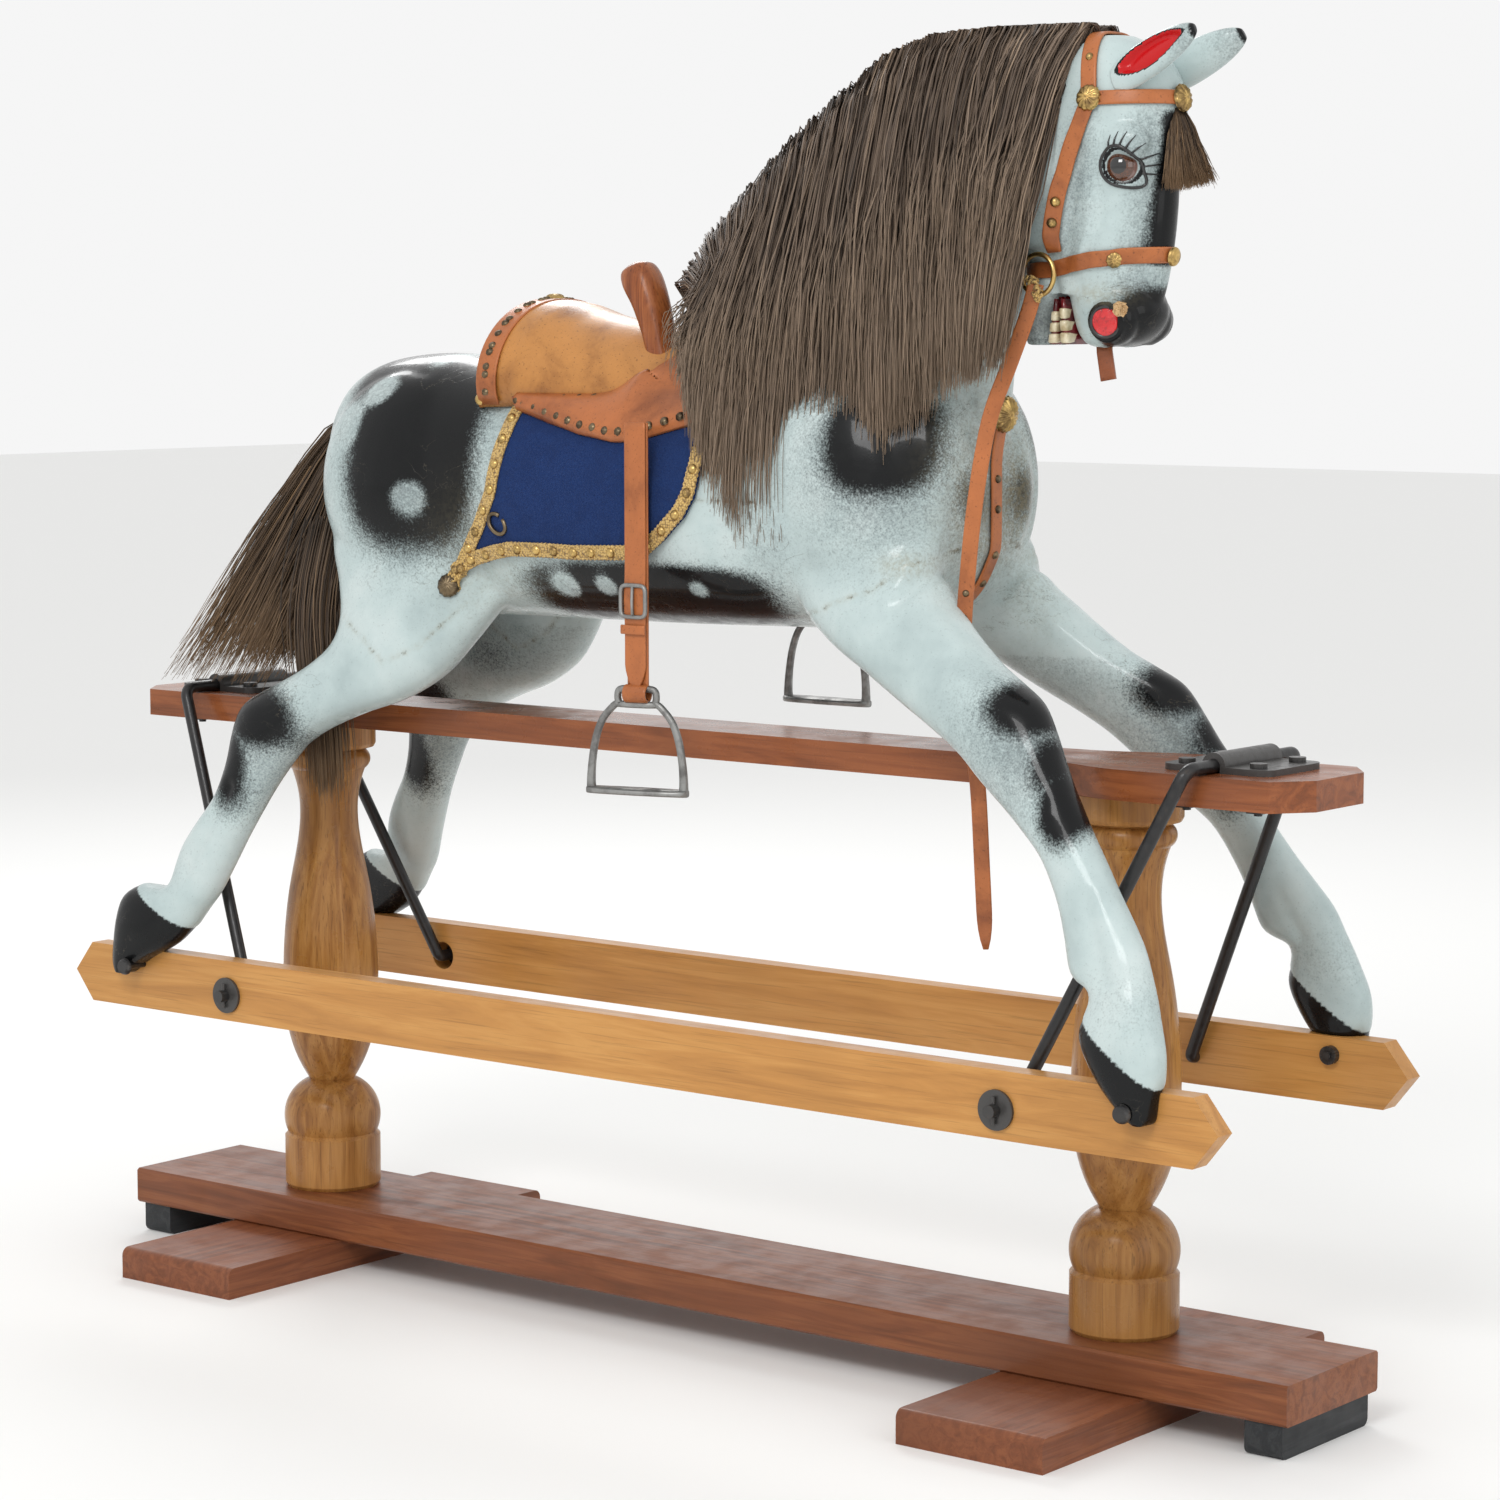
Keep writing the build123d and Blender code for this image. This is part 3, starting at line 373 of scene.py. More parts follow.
def make_materials():
    """One finish for each of the record's slots, and a few painted details."""
    MATERIALS.update({
        "dark_pine": wood("dark_pine", (0.050, 0.013, 0.005), (0.150, 0.042, 0.015), (0.230, 0.078, 0.028),
                          "x", 0.36,
                          1.0, 0.7),
        "foot_pine": wood("foot_pine", (0.050, 0.013, 0.005), (0.145, 0.040, 0.015), (0.220, 0.072, 0.027),
                          "y", 0.4,
                          1.0, 0.7),
        "black_paint": wood("black_paint", (0.006, 0.008, 0.009), (0.012, 0.014, 0.016),
                            (0.03, 0.032, 0.034), "y",
                            0.5),
        "turned_beech": wood("turned_beech", (0.22, 0.085, 0.018), (0.34, 0.150, 0.036),
                             (0.44, 0.215, 0.060), "z",
                             0.24, 0.7, 0.45),
        "rail_mahogany": wood("rail_mahogany", (0.055, 0.014, 0.006), (0.175, 0.048, 0.016),
                              (0.27, 0.085, 0.028),
                              "x", 0.22, 0.8, 0.5),
        "rail_beech": wood("rail_beech", (0.27, 0.105, 0.022), (0.43, 0.190, 0.045), (0.53, 0.265, 0.075),
                           "x", 0.28,
                           0.6, 0.4),
        "black_iron": cast_black(),
        "dapple_paint": dapple(),
        "tooth_paint": tooth_paint(),
        "gums": gum_paint(),
        "ink": ink(),
        "peg_wood": wood("peg_wood", (0.13, 0.030, 0.009), (0.26, 0.072, 0.020), (0.36, 0.115, 0.034), "z",
                         0.2),
        "nostril_red": nostril_paint(),
        "bare_wood": wood("bare_wood", (0.35, 0.20, 0.08), (0.55, 0.36, 0.18), (0.68, 0.50, 0.30), "z",
                          0.6),
        "glass_eye": eye_glass(),
        "tan_leather": leather("tan_leather", (0.40, 0.125, 0.036), (0.20, 0.055, 0.016), 0.34),
        "seat_leather": leather("seat_leather", (0.46, 0.20, 0.050), (0.24, 0.088, 0.020), 0.26),
        "brown_leather": leather("brown_leather", (0.24, 0.065, 0.020), (0.085, 0.022, 0.009), 0.28, 0.8),
        "navy_felt": felt(),
        "gold_braid": braid_cloth(),
        "brass": metal("brass", (0.62, 0.42, 0.15), (0.20, 0.13, 0.06), 0.26),
        "dark_brass": metal("dark_brass", (0.20, 0.15, 0.09), (0.07, 0.05, 0.035), 0.32),
        "steel": metal("steel", (0.30, 0.30, 0.29), (0.16, 0.155, 0.15), 0.40, 0.9),
        "horse_hair": hair("horse_hair", (0.020, 0.014, 0.010), (0.095, 0.066, 0.047),
                           (0.215, 0.155, 0.112),
                           (0.40, 0.29, 0.20)),
        "tail_hair": hair("tail_hair", (0.010, 0.007, 0.005), (0.065, 0.042, 0.027), (0.165, 0.105, 0.060),
                          (0.31, 0.19, 0.10)),
    })


# ---------------------------------------------------------------- mesh helpers
def new_object(name, points_mm, faces, material, body="horse", replaces=(), slot=None, smooth=True,
               attributes=None):
    """A mesh piece from millimetre points, riding on a CAD body."""
    mesh = bpy.data.meshes.new(name)
    mesh.from_pydata([tuple(p) for p in np.asarray(points_mm, float) * MM], [], [tuple(f) for f in faces])
    mesh.validate()
    mesh.update()
    mesh.polygons.foreach_set("use_smooth", [smooth] * len(mesh.polygons))
    for key, values in (attributes or {}).items():
        layer = mesh.attributes.new(key, "FLOAT", "POINT")
        layer.data.foreach_set("value", np.asarray(values, np.float32))
    obj = bpy.data.objects.new(name, mesh)
    bpy.context.collection.objects.link(obj)
    return dress(obj, material, body, replaces)


def dress(obj, material, body="horse", replaces=()):
    obj.data.materials.clear()
    obj.data.materials.append(MATERIALS[material])
    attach(obj, body)
    if replaces:
        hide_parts(*replaces)
    return obj


def coords(obj):
    """Vertex positions in millimetres."""
    flat = np.empty(len(obj.data.vertices) * 3)
    obj.data.vertices.foreach_get("co", flat)
    return flat.reshape(-1, 3) / MM


def normals(obj):
    flat = np.empty(len(obj.data.vertices) * 3)
    obj.data.vertices.foreach_get("normal", flat)
    return flat.reshape(-1, 3)


def set_coords(obj, points):
    obj.data.vertices.foreach_set("co", (np.asarray(points) * MM).ravel())
    obj.data.update()


def set_attribute(obj, name, values):
    layer = obj.data.attributes.get(name) or obj.data.attributes.new(name, "FLOAT", "POINT")
    layer.data.foreach_set("value", np.clip(np.asarray(values), 0, 1).astype(np.float32))


def bake_modifiers(obj):
    """Applies every modifier on obj to its mesh."""
    graph = bpy.context.evaluated_depsgraph_get()
    mesh = bpy.data.meshes.new_from_object(obj.evaluated_get(graph))
    obj.modifiers.clear()
    obj.data = mesh
    return obj


def modify(obj, kind, **settings):
    made = obj.modifiers.new(kind.lower(), kind)
    for key, value in settings.items():
        setattr(made, key, value)
    return made


def smooth_curve(points, steps):
    """Catmull-Rom line through points (rows of any width), steps samples between each pair."""
    pts = np.asarray(points, float)
    padded = np.vstack([2 * pts[0] - pts[1], pts, 2 * pts[-1] - pts[-2]])
    out = []
    for i in range(1, len(padded) - 2):
        a, b, c, d = padded[i - 1:i + 3]
        for t in np.arange(steps) / steps:
            out.append(0.5 * (2 * b + (c - a) * t + (2 * a - 5 * b + 4 * c - d) * t * t
                              + (3 * b - a - 3 * c + d) * t ** 3))
    out.append(pts[-1])
    return np.array(out)


def step(value, low, high):
    """Smooth step as an array."""
    t = np.clip((np.asarray(value, float) - low) / (high - low), 0, 1)
    return t * t * (3 - 2 * t)


def loop_faces(rings, around, close_ends=True):
    """Quads between consecutive rings of equal size, with fans over the ends."""
    faces = []
    for r in range(rings - 1):
        for i in range(around):
            j = (i + 1) % around
            faces.append((r * around + i, r * around + j, (r + 1) * around + j, (r + 1) * around + i))
    if close_ends:
        faces.append(tuple(range(around))[::-1])
        faces.append(tuple((rings - 1) * around + i for i in range(around)))
    return faces


def oval_ring(centre, side, up, a, b, fullness=2.0, around=48):
    """Superellipse ring of half sizes a along side and b along up."""
    angles = np.linspace(0, 2 * math.pi, around, endpoint=False)
    c, s = np.cos(angles), np.sin(angles)
    x = np.sign(c) * np.abs(c) ** (2 / fullness) * a
    y = np.sign(s) * np.abs(s) ** (2 / fullness) * b
    return np.asarray(centre) + np.outer(x, side) + np.outer(y, up)


def tube(rings):
    """Points and faces of a closed tube through rings of equal size."""
    return np.vstack(rings), loop_faces(len(rings), len(rings[0]))


def merge(parts):
    """Joins (points, faces) pairs."""
    points, faces, offset = [], [], 0
    for pts, fcs in parts:
        points.append(np.asarray(pts, float))
        faces += [tuple(i + offset for i in f) for f in fcs]
        offset += len(pts)
    return np.vstack(points), faces


def wire(path, radius, around=8, closed=False):
    """Round bar along a line of points; radius may be one number or one for each point."""
    path = np.asarray(path, float)
    count = len(path)
    radii = np.broadcast_to(np.asarray(radius, float), (count,))
    rings = []
    normal = None
    for i in range(count):
        before = path[(i - 1) % count] if closed else path[max(i - 1, 0)]
        after = path[(i + 1) % count] if closed else path[min(i + 1, count - 1)]
        along = Vector(after - before).normalized()
        if normal is None:
            normal = along.orthogonal().normalized()
        normal = (normal - along * normal.dot(along)).normalized()
        other = along.cross(normal)
        rings.append(oval_ring(path[i], np.array(normal), np.array(other), radii[i], radii[i], 2.0, around))
    points = np.vstack(rings)
    faces = loop_faces(count, around, not closed)
    if closed:
        last = (count - 1) * around
        shift = min(range(around), key=lambda k: np.linalg.norm(rings[-1][0] - rings[0][k]))
        for i in range(around):
            j = (i + 1) % around
            faces.append((last + i, last + j, (j + shift) % around, (i + shift) % around))
    return points, faces


def ribbon_mesh(path, outward, width, thick, cross=6):
    """Flat strap with rounded edges along a path; outward gives the facing direction at each point."""
    path, outward = np.asarray(path, float), np.asarray(outward, float)
    count = len(path)
    widths = np.broadcast_to(np.asarray(width, float), (count,))
    rings = []
    for i in range(count):
        along = path[min(i + 1, count - 1)] - path[max(i - 1, 0)]
        along /= np.linalg.norm(along)
        out = outward[i] - along * np.dot(outward[i], along)
        out /= np.linalg.norm(out)
        side = np.cross(along, out)
        half = widths[i] / 2
        profile = [(-half, 0.15), (-half, 0.75), (-half + 0.8, 1.0)]
        profile += [(x, 1.0 + 0.06 * math.cos(math.pi * x / (2 * half))) for x in np.linspace(-half + 2,
                                                                                              half - 2,
                                                                                              cross)]
        profile += [(half - 0.8, 1.0), (half, 0.75), (half, 0.15), (half - 1, 0.0), (-half + 1, 0.0)]
        rings.append(np.array([path[i] + side * x + out * y * thick for x, y in profile]))
    return tube(rings)


def dome(centre, axis, radius, height, around=20, rings=5, flutes=0, rim=0.0):
    """Nail head or rosette: a round dome facing along axis, plain or fluted like a daisy."""
    axis = Vector(axis).normalized()
    u = axis.orthogonal().normalized()
    v = axis.cross(u)
    points = []
    for k in range(rings + 1):
        t = k / rings
        r = radius * math.sin(t * math.pi / 2)
        h = height * math.cos(t * math.pi / 2)
        for i in range(around):
            angle = 2 * math.pi * i / around
            wave = 1 + (0.10 * math.cos(flutes * angle) if flutes and k == rings else 0)
            lift = 0.16 * height * math.cos(flutes * angle) * math.sin(math.pi * t) if flutes else 0
            lift += rim * math.exp(-((t - 0.8) / 0.12) ** 2)
            place = Vector(centre) + (u * math.cos(angle) + v
                                      * math.sin(angle)) * (r * wave) + axis * (h + lift)
            points.append(tuple(place))
    base = len(points)
    for i in range(around):
        angle = 2 * math.pi * i / around
        points.append(tuple(Vector(centre) + (u * math.cos(angle) + v * math.sin(angle)) * radius - axis
                            * 1.0))
    faces = []
    for k in range(rings + 1):
        for i in range(around):
            j = (i + 1) % around
            faces.append((k * around + i, k * around + j, (k + 1) * around + j, (k + 1) * around + i))
    faces.append(tuple(base + i for i in range(around))[::-1])
    return np.array(points), faces
# ---------------------------------------------------------------- the carved horse
# stations: (x, belly, back, half width, fullness)
BARREL = [(-456, 800, 930, 44, 2.0), (-446, 768, 957, 72, 2.1), (-420, 744, 974, 97, 2.2),
          (-375, 722, 986, 116, 2.3), (-310, 716, 989, 124, 2.35), (-230, 717, 975, 125, 2.4),
          (-150, 718, 962, 125, 2.4), (-60, 719, 954, 126, 2.4), (40, 720, 952, 127, 2.4),
          (130, 722, 960, 127, 2.4), (200, 724, 972, 126, 2.4), (260, 728, 984, 122, 2.35),
          (310, 742, 986, 110, 2.3), (345, 768, 976, 90, 2.2), (366, 806, 950, 58, 2.0)]
# slanted neck rings: centre (x, z), tilt of the ring in degrees, depth along the tilt, half width
NECK = [((205, 905), 62, 165, 100), ((238, 985), 62, 150, 82), ((274, 1060), 61, 124, 66),
        ((316, 1130), 57, 108, 58), ((368, 1190), 46, 94, 52), ((428, 1224), 26, 74, 47)]
# head rings: (z, back x, front x, half width)
SKULL = [(1048, 418, 546, 37), (1066, 415, 545, 37), (1086, 410, 547, 41), (1110, 402, 552, 47),
         (1140, 396, 560, 52), (1172, 396, 567, 54), (1205, 404, 570, 52), (1235, 416, 567, 46),
         (1258, 434, 556, 41), (1274, 456, 538, 32), (1284, 480, 515, 20)]
# legs: front edge (x, z), back edge (x, z), middle y, half width
FORELEG = [((330, 850), (175, 800), 66, 44), ((365, 780), (205, 752), 80, 44),
           ((398, 746), (250, 719), 94, 42),
           ((443, 710), (299, 694), 105, 39), ((474, 693), (345, 668), 112, 36),
           ((503, 676), (385, 647), 119, 34),
           ((521, 650), (421, 626), 125, 32), ((536, 622), (450, 603), 131, 30),
           ((551, 594), (480, 580), 136, 26),
           ((568, 571), (505, 560), 141, 24), ((590, 543), (527, 540), 147, 22),
           ((610, 515), (548, 505), 153, 22),
           ((630, 490), (560, 474), 159, 22), ((646, 468), (570, 443), 165, 23),
           ((656, 445), (582, 434), 169, 23),
           ((664, 425), (598, 428), 173, 23), ((672, 403), (596, 410), 178, 24),
           ((678, 385), (590, 396), 181, 25),
           ((680, 365), (594, 378), 182, 25), ((677, 345), (612, 350), 182.5, 24),
           ((674, 325), (638, 325), 183, 23),
           ((672, 316), (656, 313), 183, 21)]
HINDLEG = [((-170, 790), (-428, 840), 64, 48), ((-180, 745), (-424, 790), 77, 46),
           ((-196, 724), (-408, 752), 86, 43),
           ((-223, 691), (-396, 715), 97, 40), ((-256, 657), (-402, 687), 106, 37),
           ((-302, 631), (-428, 664), 113, 35),
           ((-350, 615), (-460, 645), 120, 33), ((-395, 597), (-488, 630), 126, 31),
           ((-427, 578), (-509, 616), 131, 30),
           ((-447, 556), (-519, 592), 136, 27), ((-463, 532), (-526, 555), 142, 25),
           ((-480, 503), (-540, 518), 148, 23),
           ((-496, 473), (-562, 487), 155, 23), ((-509, 446), (-578, 460), 161, 23.5),
           ((-524, 415), (-590, 420), 169, 24),
           ((-537, 396), (-607, 417), 173, 24), ((-552, 375), (-630, 418), 177, 25),
           ((-566, 361), (-652, 405), 180, 25.5), ((-576, 354), (-661, 380), 182, 25),
           ((-592, 346), (-664, 355), 183, 24), ((-615, 335), (-664, 332), 183.5, 23),
           ((-640, 318), (-655, 316), 184, 21)]
BODY_VOXEL, BODY_SMOOTHING = 4.1, 11      # mm, rounds
HEAD_VOXEL, HEAD_SMOOTHING = 2.0, 7
RAIL_OUTER = 180.1    # the hooves are cut to lap over the hoof rails
RAIL_TOP = 345.6


def ellipsoid(centre, radii, turn=0.0):
    """Points and faces of an ellipsoid, turned by degrees about +Y."""
    c, s = math.cos(math.radians(turn)), math.sin(math.radians(turn))
    rings = []
    for t in np.linspace(-0.96, 0.96, 28):
        r = math.sqrt(1 - t * t)
        ring = oval_ring((0, 0, t * radii[2]), (1, 0, 0), (0, 1, 0), radii[0] * r, radii[1] * r, 2.0, 32)
        x, z = ring[:, 0].copy(), ring[:, 2].copy()
        ring[:, 0], ring[:, 2] = x * c + z * s, -x * s + z * c
        rings.append(ring + centre)
    return tube(rings)


def leg_rings(stations, side):
    flat = np.array([(f[0], f[1], b[0], b[1], y, w) for f, b, y, w in stations], float)
    rings = []
    for fx, fz, bx, bz, y, half in smooth_curve(flat, 6):
        front, back = np.array((fx, 0, fz)), np.array((bx, 0, bz))
        axis = front - back
        length = np.linalg.norm(axis)
        centre = (front + back) / 2 + (0, side * y, 0)
        rings.append(oval_ring(centre, axis / length, (0, 1, 0), length / 2, half, 2.25, 40))
    return tube(rings)


def barrel_rings():
    rings = []
    for x, low, high, half, full in smooth_curve(BARREL, 4):
        rings.append(oval_ring((x, 0, (low + high) / 2), (0, 1, 0), (0, 0, 1), half, (high - low) / 2, full,
                               56))
    return tube(rings)


def neck_rings(stations):
    flat = np.array([(c[0], c[1], t, d, w) for c, t, d, w in stations], float)
    rings = []
    for x, z, tilt, depth, half in smooth_curve(flat, 5):
        a = math.radians(tilt - 90)
        across = (math.cos(a), 0, math.sin(a))
        rings.append(oval_ring((x, 0, z), across, (0, 1, 0), depth, half, 2.15, 48))
    return tube(rings)


def skull_rings(stations):
    rings = []
    for z, back, front, half in smooth_curve(np.array(stations, float), 4):
        rings.append(oval_ring(((back + front) / 2, 0, z), (1, 0, 0), (0, 1, 0), (front - back) / 2, half,
                               2.35, 48))
    return tube(rings)


def fused(name, parts, voxel, smooth):
    """One skin round overlapping closed shapes, smoothed where they meet."""
    points, faces = merge(parts)
    mesh = bpy.data.meshes.new(name)
    mesh.from_pydata([tuple(p) for p in points * MM], [], faces)
    mesh.update()
    obj = bpy.data.objects.new(name, mesh)
    bpy.context.collection.objects.link(obj)
    fix = bmesh.new()
    fix.from_mesh(mesh)
    bmesh.ops.recalc_face_normals(fix, faces=fix.faces)
    fix.to_mesh(mesh)
    fix.free()
    modify(obj, "REMESH", mode="VOXEL", voxel_size=voxel * MM, use_smooth_shade=True)
    modify(obj, "SMOOTH", factor=0.5, iterations=smooth)
    bake_modifiers(obj)
    return obj


def both_sides(centre, radii, turn=0.0):
    x, y, z = centre
    return [ellipsoid((x, y, z), radii, turn), ellipsoid((x, -y, z), radii, turn)]


def lump(p, centre, radii, power=2.0):
    """One at centre, fading to nought beyond radii; the sides mirror."""
    d = (np.abs(p[:, 0] - centre[0]) / radii[0]) ** power
    d = d + (np.abs(np.abs(p[:, 1]) - abs(centre[1])) / radii[1]) ** power
    d = d + (np.abs(p[:, 2] - centre[2]) / radii[2]) ** power
    return np.exp(-d)


def segment_distance(p, a, b):
    """Distance in the XZ plane from points to the segment a-b."""
    a, b = np.array(a, float), np.array(b, float)
    q = p[:, [0, 2]]
    t = np.clip(((q - a) @ (b - a)) / ((b - a) @ (b - a)), 0, 1)
    return np.linalg.norm(q - (a + t[:, None] * (b - a)), axis=1)


def path_distance(p, line):
    return np.min([segment_distance(p, line[i], line[i + 1]) for i in range(len(line) - 1)], axis=0)


def stroke(p, line, width, depth):
    """Depth of a groove of that width drawn along a line in the XZ plane."""
    return depth * np.exp(-(path_distance(p, line) / width) ** 2)


# (x, z) of the worn joints between the glued blocks, seen from the side
BLOCK_JOINTS = [[(223, 744), (250, 750), (283, 763), (312, 772), (335, 788), (364, 811)],
                [(-375, 715), (-340, 699), (-303, 672), (-262, 690), (-233, 717), (-205, 742), (-177, 781)],
                [(-177, 852), (-60, 851), (60, 853), (170, 850)]]


def make_body():
    """Barrel, neck stump, haunches, shoulders and four legs in one skin, with carved hollows cut in."""
    parts = [barrel_rings(), neck_rings(NECK[:5])]
    parts += both_sides((-322, 64, 852), (122, 71, 120), 10)
    parts += both_sides((248, 74, 866), (92, 58, 118), -16)
    parts += both_sides((322, 46, 866), (55, 50, 98))
    parts += [ellipsoid((90, 0, 930), (150, 70, 58))]
    for side in (1, -1):
        parts += [leg_rings(FORELEG, side), leg_rings(HINDLEG, side)]
    obj = fused("horse_body", parts, BODY_VOXEL, BODY_SMOOTHING)
    p, n = coords(obj), normals(obj)
    depth = np.zeros(len(p))
    outer = (np.abs(p[:, 1]) > 30)
    # the carved line in front of each shoulder, round the chest
    chest = path_distance(p, [(352, 975), (366, 935), (372, 900), (372, 850), (360, 790), (340, 757)])
    depth += 5.5 * np.exp(-(chest / 7.0) ** 2) * outer * step(p[:, 2], 735, 780)
    ridge = path_distance(p, [(330, 968), (345, 930), (352, 880), (350, 820), (335, 775)])
    depth -= 2.5 * np.exp(-(ridge / 9.0) ** 2) * outer
    # flank hollow before the haunch, stifle fold and elbow
    depth += 5.0 * lump(p, (-190, 118, 800), (38, 60, 70))
    depth += 5.0 * lump(p, (158, 118, 800), (38, 60, 80))
    depth += stroke(p, [(-205, 800), (-196, 765), (-200, 735)], 7, 2.5) * outer
    # tendons and the hollow behind each cannon bone
    outside = step(np.abs(p[:, 1]), 130, 150)
    depth += stroke(p, [(590, 510), (608, 470), (622, 440)], 7, 3.2) * outside
    depth += stroke(p, [(-505, 530), (-530, 480), (-552, 440)], 7, 3.2) * outside
    depth -= 4.0 * lump(p, (545, 150, 590), (26, 30, 30))
    depth -= 4.0 * lump(p, (-480, 140, 585), (30, 30, 34))
    depth += stroke(p, [(470, 660), (500, 628), (528, 590)], 9, 2.5) * (p[:, 2] < 680)
    for line in BLOCK_JOINTS:
        depth += stroke(p, line, 1.6, 1.1) * (np.abs(p[:, 1]) > 45)
    depth += 1.3 * step(hoof_inside(p), -4, 4)
    wood_grain = np.sin(p[:, 0] * 0.021 + p[:, 2] * 0.034) * 0.25
    p = p - n * (depth + wood_grain)[:, None]
    lap = (p[:, 2] < RAIL_TOP + 0.6) & (np.abs(p[:, 1]) < RAIL_OUTER)
    p[lap, 1] = np.sign(p[lap, 1]) * RAIL_OUTER
    wide = (np.abs(p[:, 1]) > 205.5) & (p[:, 2] < 420)
    p[wide, 1] = np.sign(p[wide, 1]) * 205.5
    set_coords(obj, p)
    paint_body(obj, p)
    return dress(obj, "dapple_paint", "horse",
                 ("body_upper", "body_lower", "neck", "foreleg_right", "foreleg_left", "hind_leg_right",
                  "hind_leg_left"))


def hoof_inside(p):
    """Millimetres below the sloping edge of a hoof's black paint, negative above it."""
    x, z = p[:, 0], p[:, 2]
    fore = np.where((x > 500) & (z < 450), 411 - (x - 590) * 0.72 - z, -60.0)
    hind = np.where((x < -480) & (z < 460), 369 - (x + 541) * 0.54 - z, -60.0)
    return np.maximum(fore, hind)


def paint_body(obj, p):
    """Airbrushed markings as masks for the paint, and painted shade on the inner faces of the legs."""
    side_dark = step(-p[:, 1], -60, 60)
    black = np.zeros(len(p))
    for centre, radii, power, amount in [
            ((-279, 105, 890), (90, 110, 108), 3.2, 1.3), ((-322, 50, 960), (92, 100, 46), 2.6, 1.15),
            ((22, 100, 752), (158, 90, 34), 3.4, 1.5), ((311, 112, 913), (58, 70, 56), 2.6, 1.3),
            ((371, 40, 858), (26, 34, 40), 2.0, 0.75), ((371, 30, 800), (20, 26, 60), 2.0, 0.45),
            ((497, 125, 672), (46, 60, 30), 2.2, 1.15), ((553, 150, 590), (27, 55, 44), 2.2, 1.2),
            ((532, 140, 626), (24, 50, 44), 2.0, 0.95), ((-468, 130, 604), (56, 60, 36), 2.2, 1.35),
            ((-506, 140, 548), (32, 55, 58), 2.2, 1.15), ((-350, 55, 660), (70, 45, 34), 2.0, 0.55),
            ((200, 90, 985), (120, 90, 60), 2.4, 0.7), ((-455, 50, 790), (18, 60, 70), 2.0, 0.5)]:
        black = np.maximum(black, amount * lump(p, centre, radii, power))
    for centre, radii, amount in [((-338, 100, 952), (20, 60, 15), 1.25),
                                  ((-368, 90, 915), (15, 60, 17), 1.1),
                                  ((-277, 120, 844), (24, 60, 20), 1.3),
                                  ((-82, 112, 759), (18, 60, 13), 1.5),
                                  ((-29, 112, 760), (18, 60, 13), 1.5), ((88, 112, 761), (16, 60, 11), 1.3),
                                  ((-300, 60, 985), (16, 60, 14), 0.7)]:
        black = black - amount * lump(p, centre, radii, 2.0)
    hoof = hoof_inside(p)
    black = np.where(hoof > -14, np.clip(0.5 + hoof / 4, -2.5, 2.2), black)
    grey = np.zeros(len(p))
    for centre, radii, amount in [((-277, 100, 890), (130, 100, 130), 0.75),
                                  ((311, 110, 900), (110, 80, 110), 0.7),
                                  ((20, 80, 745), (210, 90, 60), 0.6), ((510, 130, 640), (90, 70, 90), 0.7),
                                  ((-490, 135, 580), (90, 70, 90), 0.65),
                                  ((372, 0, 850), (50, 110, 120), 0.6),
                                  ((-430, 40, 850), (60, 110, 120), 0.6),
                                  ((240, 30, 1050), (200, 100, 160), 0.4),
                                  ((-380, 60, 690), (90, 60, 80), 0.5),
                                  ((180, 100, 800), (60, 80, 90), 0.35),
                                  ((640, 170, 420), (60, 60, 40), 0.3),
                                  ((-600, 170, 440), (60, 60, 40), 0.3)]:
        grey = np.maximum(grey, amount * lump(p, centre, radii))
    # darker grey sponging on the inner faces of the legs below the belly: painted shade between the legs
    inner = step(-np.abs(p[:, 1]), -150, -60) * (p[:, 2] < 700)
    grey = np.maximum(grey, 0.35 * inner)
    warm = 0.5 * lump(p, (372, 20, 840), (30, 60, 120)) + 0.25 * side_dark * lump(p, (-180, 120, 780),
                                                                                  (60, 80, 60))
    broken = 0.55 + 0.45 * np.sin(p[:, 0] * 0.31) * np.sin(p[:, 2] * 0.23 + 1.1)
    for line in BLOCK_JOINTS:
        worn = stroke(p, line, 2.6, 1.0) * (np.abs(p[:, 1]) > 45) * broken
        warm = np.maximum(warm, 0.5 * worn)
        black = np.maximum(black, 0.62 * worn)
    warm = np.maximum(warm, 0.6 * lump(p, (335, 90, 795), (22, 40, 12)))
    set_attribute(obj, "black", black)
    set_attribute(obj, "grey", grey)
    set_attribute(obj, "warm", warm)


JAW = [(1001, 414, 440, 25), (1012, 412, 446, 31), (1030, 413, 449, 34), (1050, 416, 462, 36),
       (1072, 418, 480, 36)]
MUZZLE = [(1000, 486, 520, 20), (1006, 474, 536, 30), (1018, 468, 548, 37), (1034, 464, 552, 40),
          (1052, 458, 546, 38),
          (1072, 448, 545, 37), (1092, 440, 547, 38)]
NOSTRIL = (519, 1023)
EYE = (536, 1164)


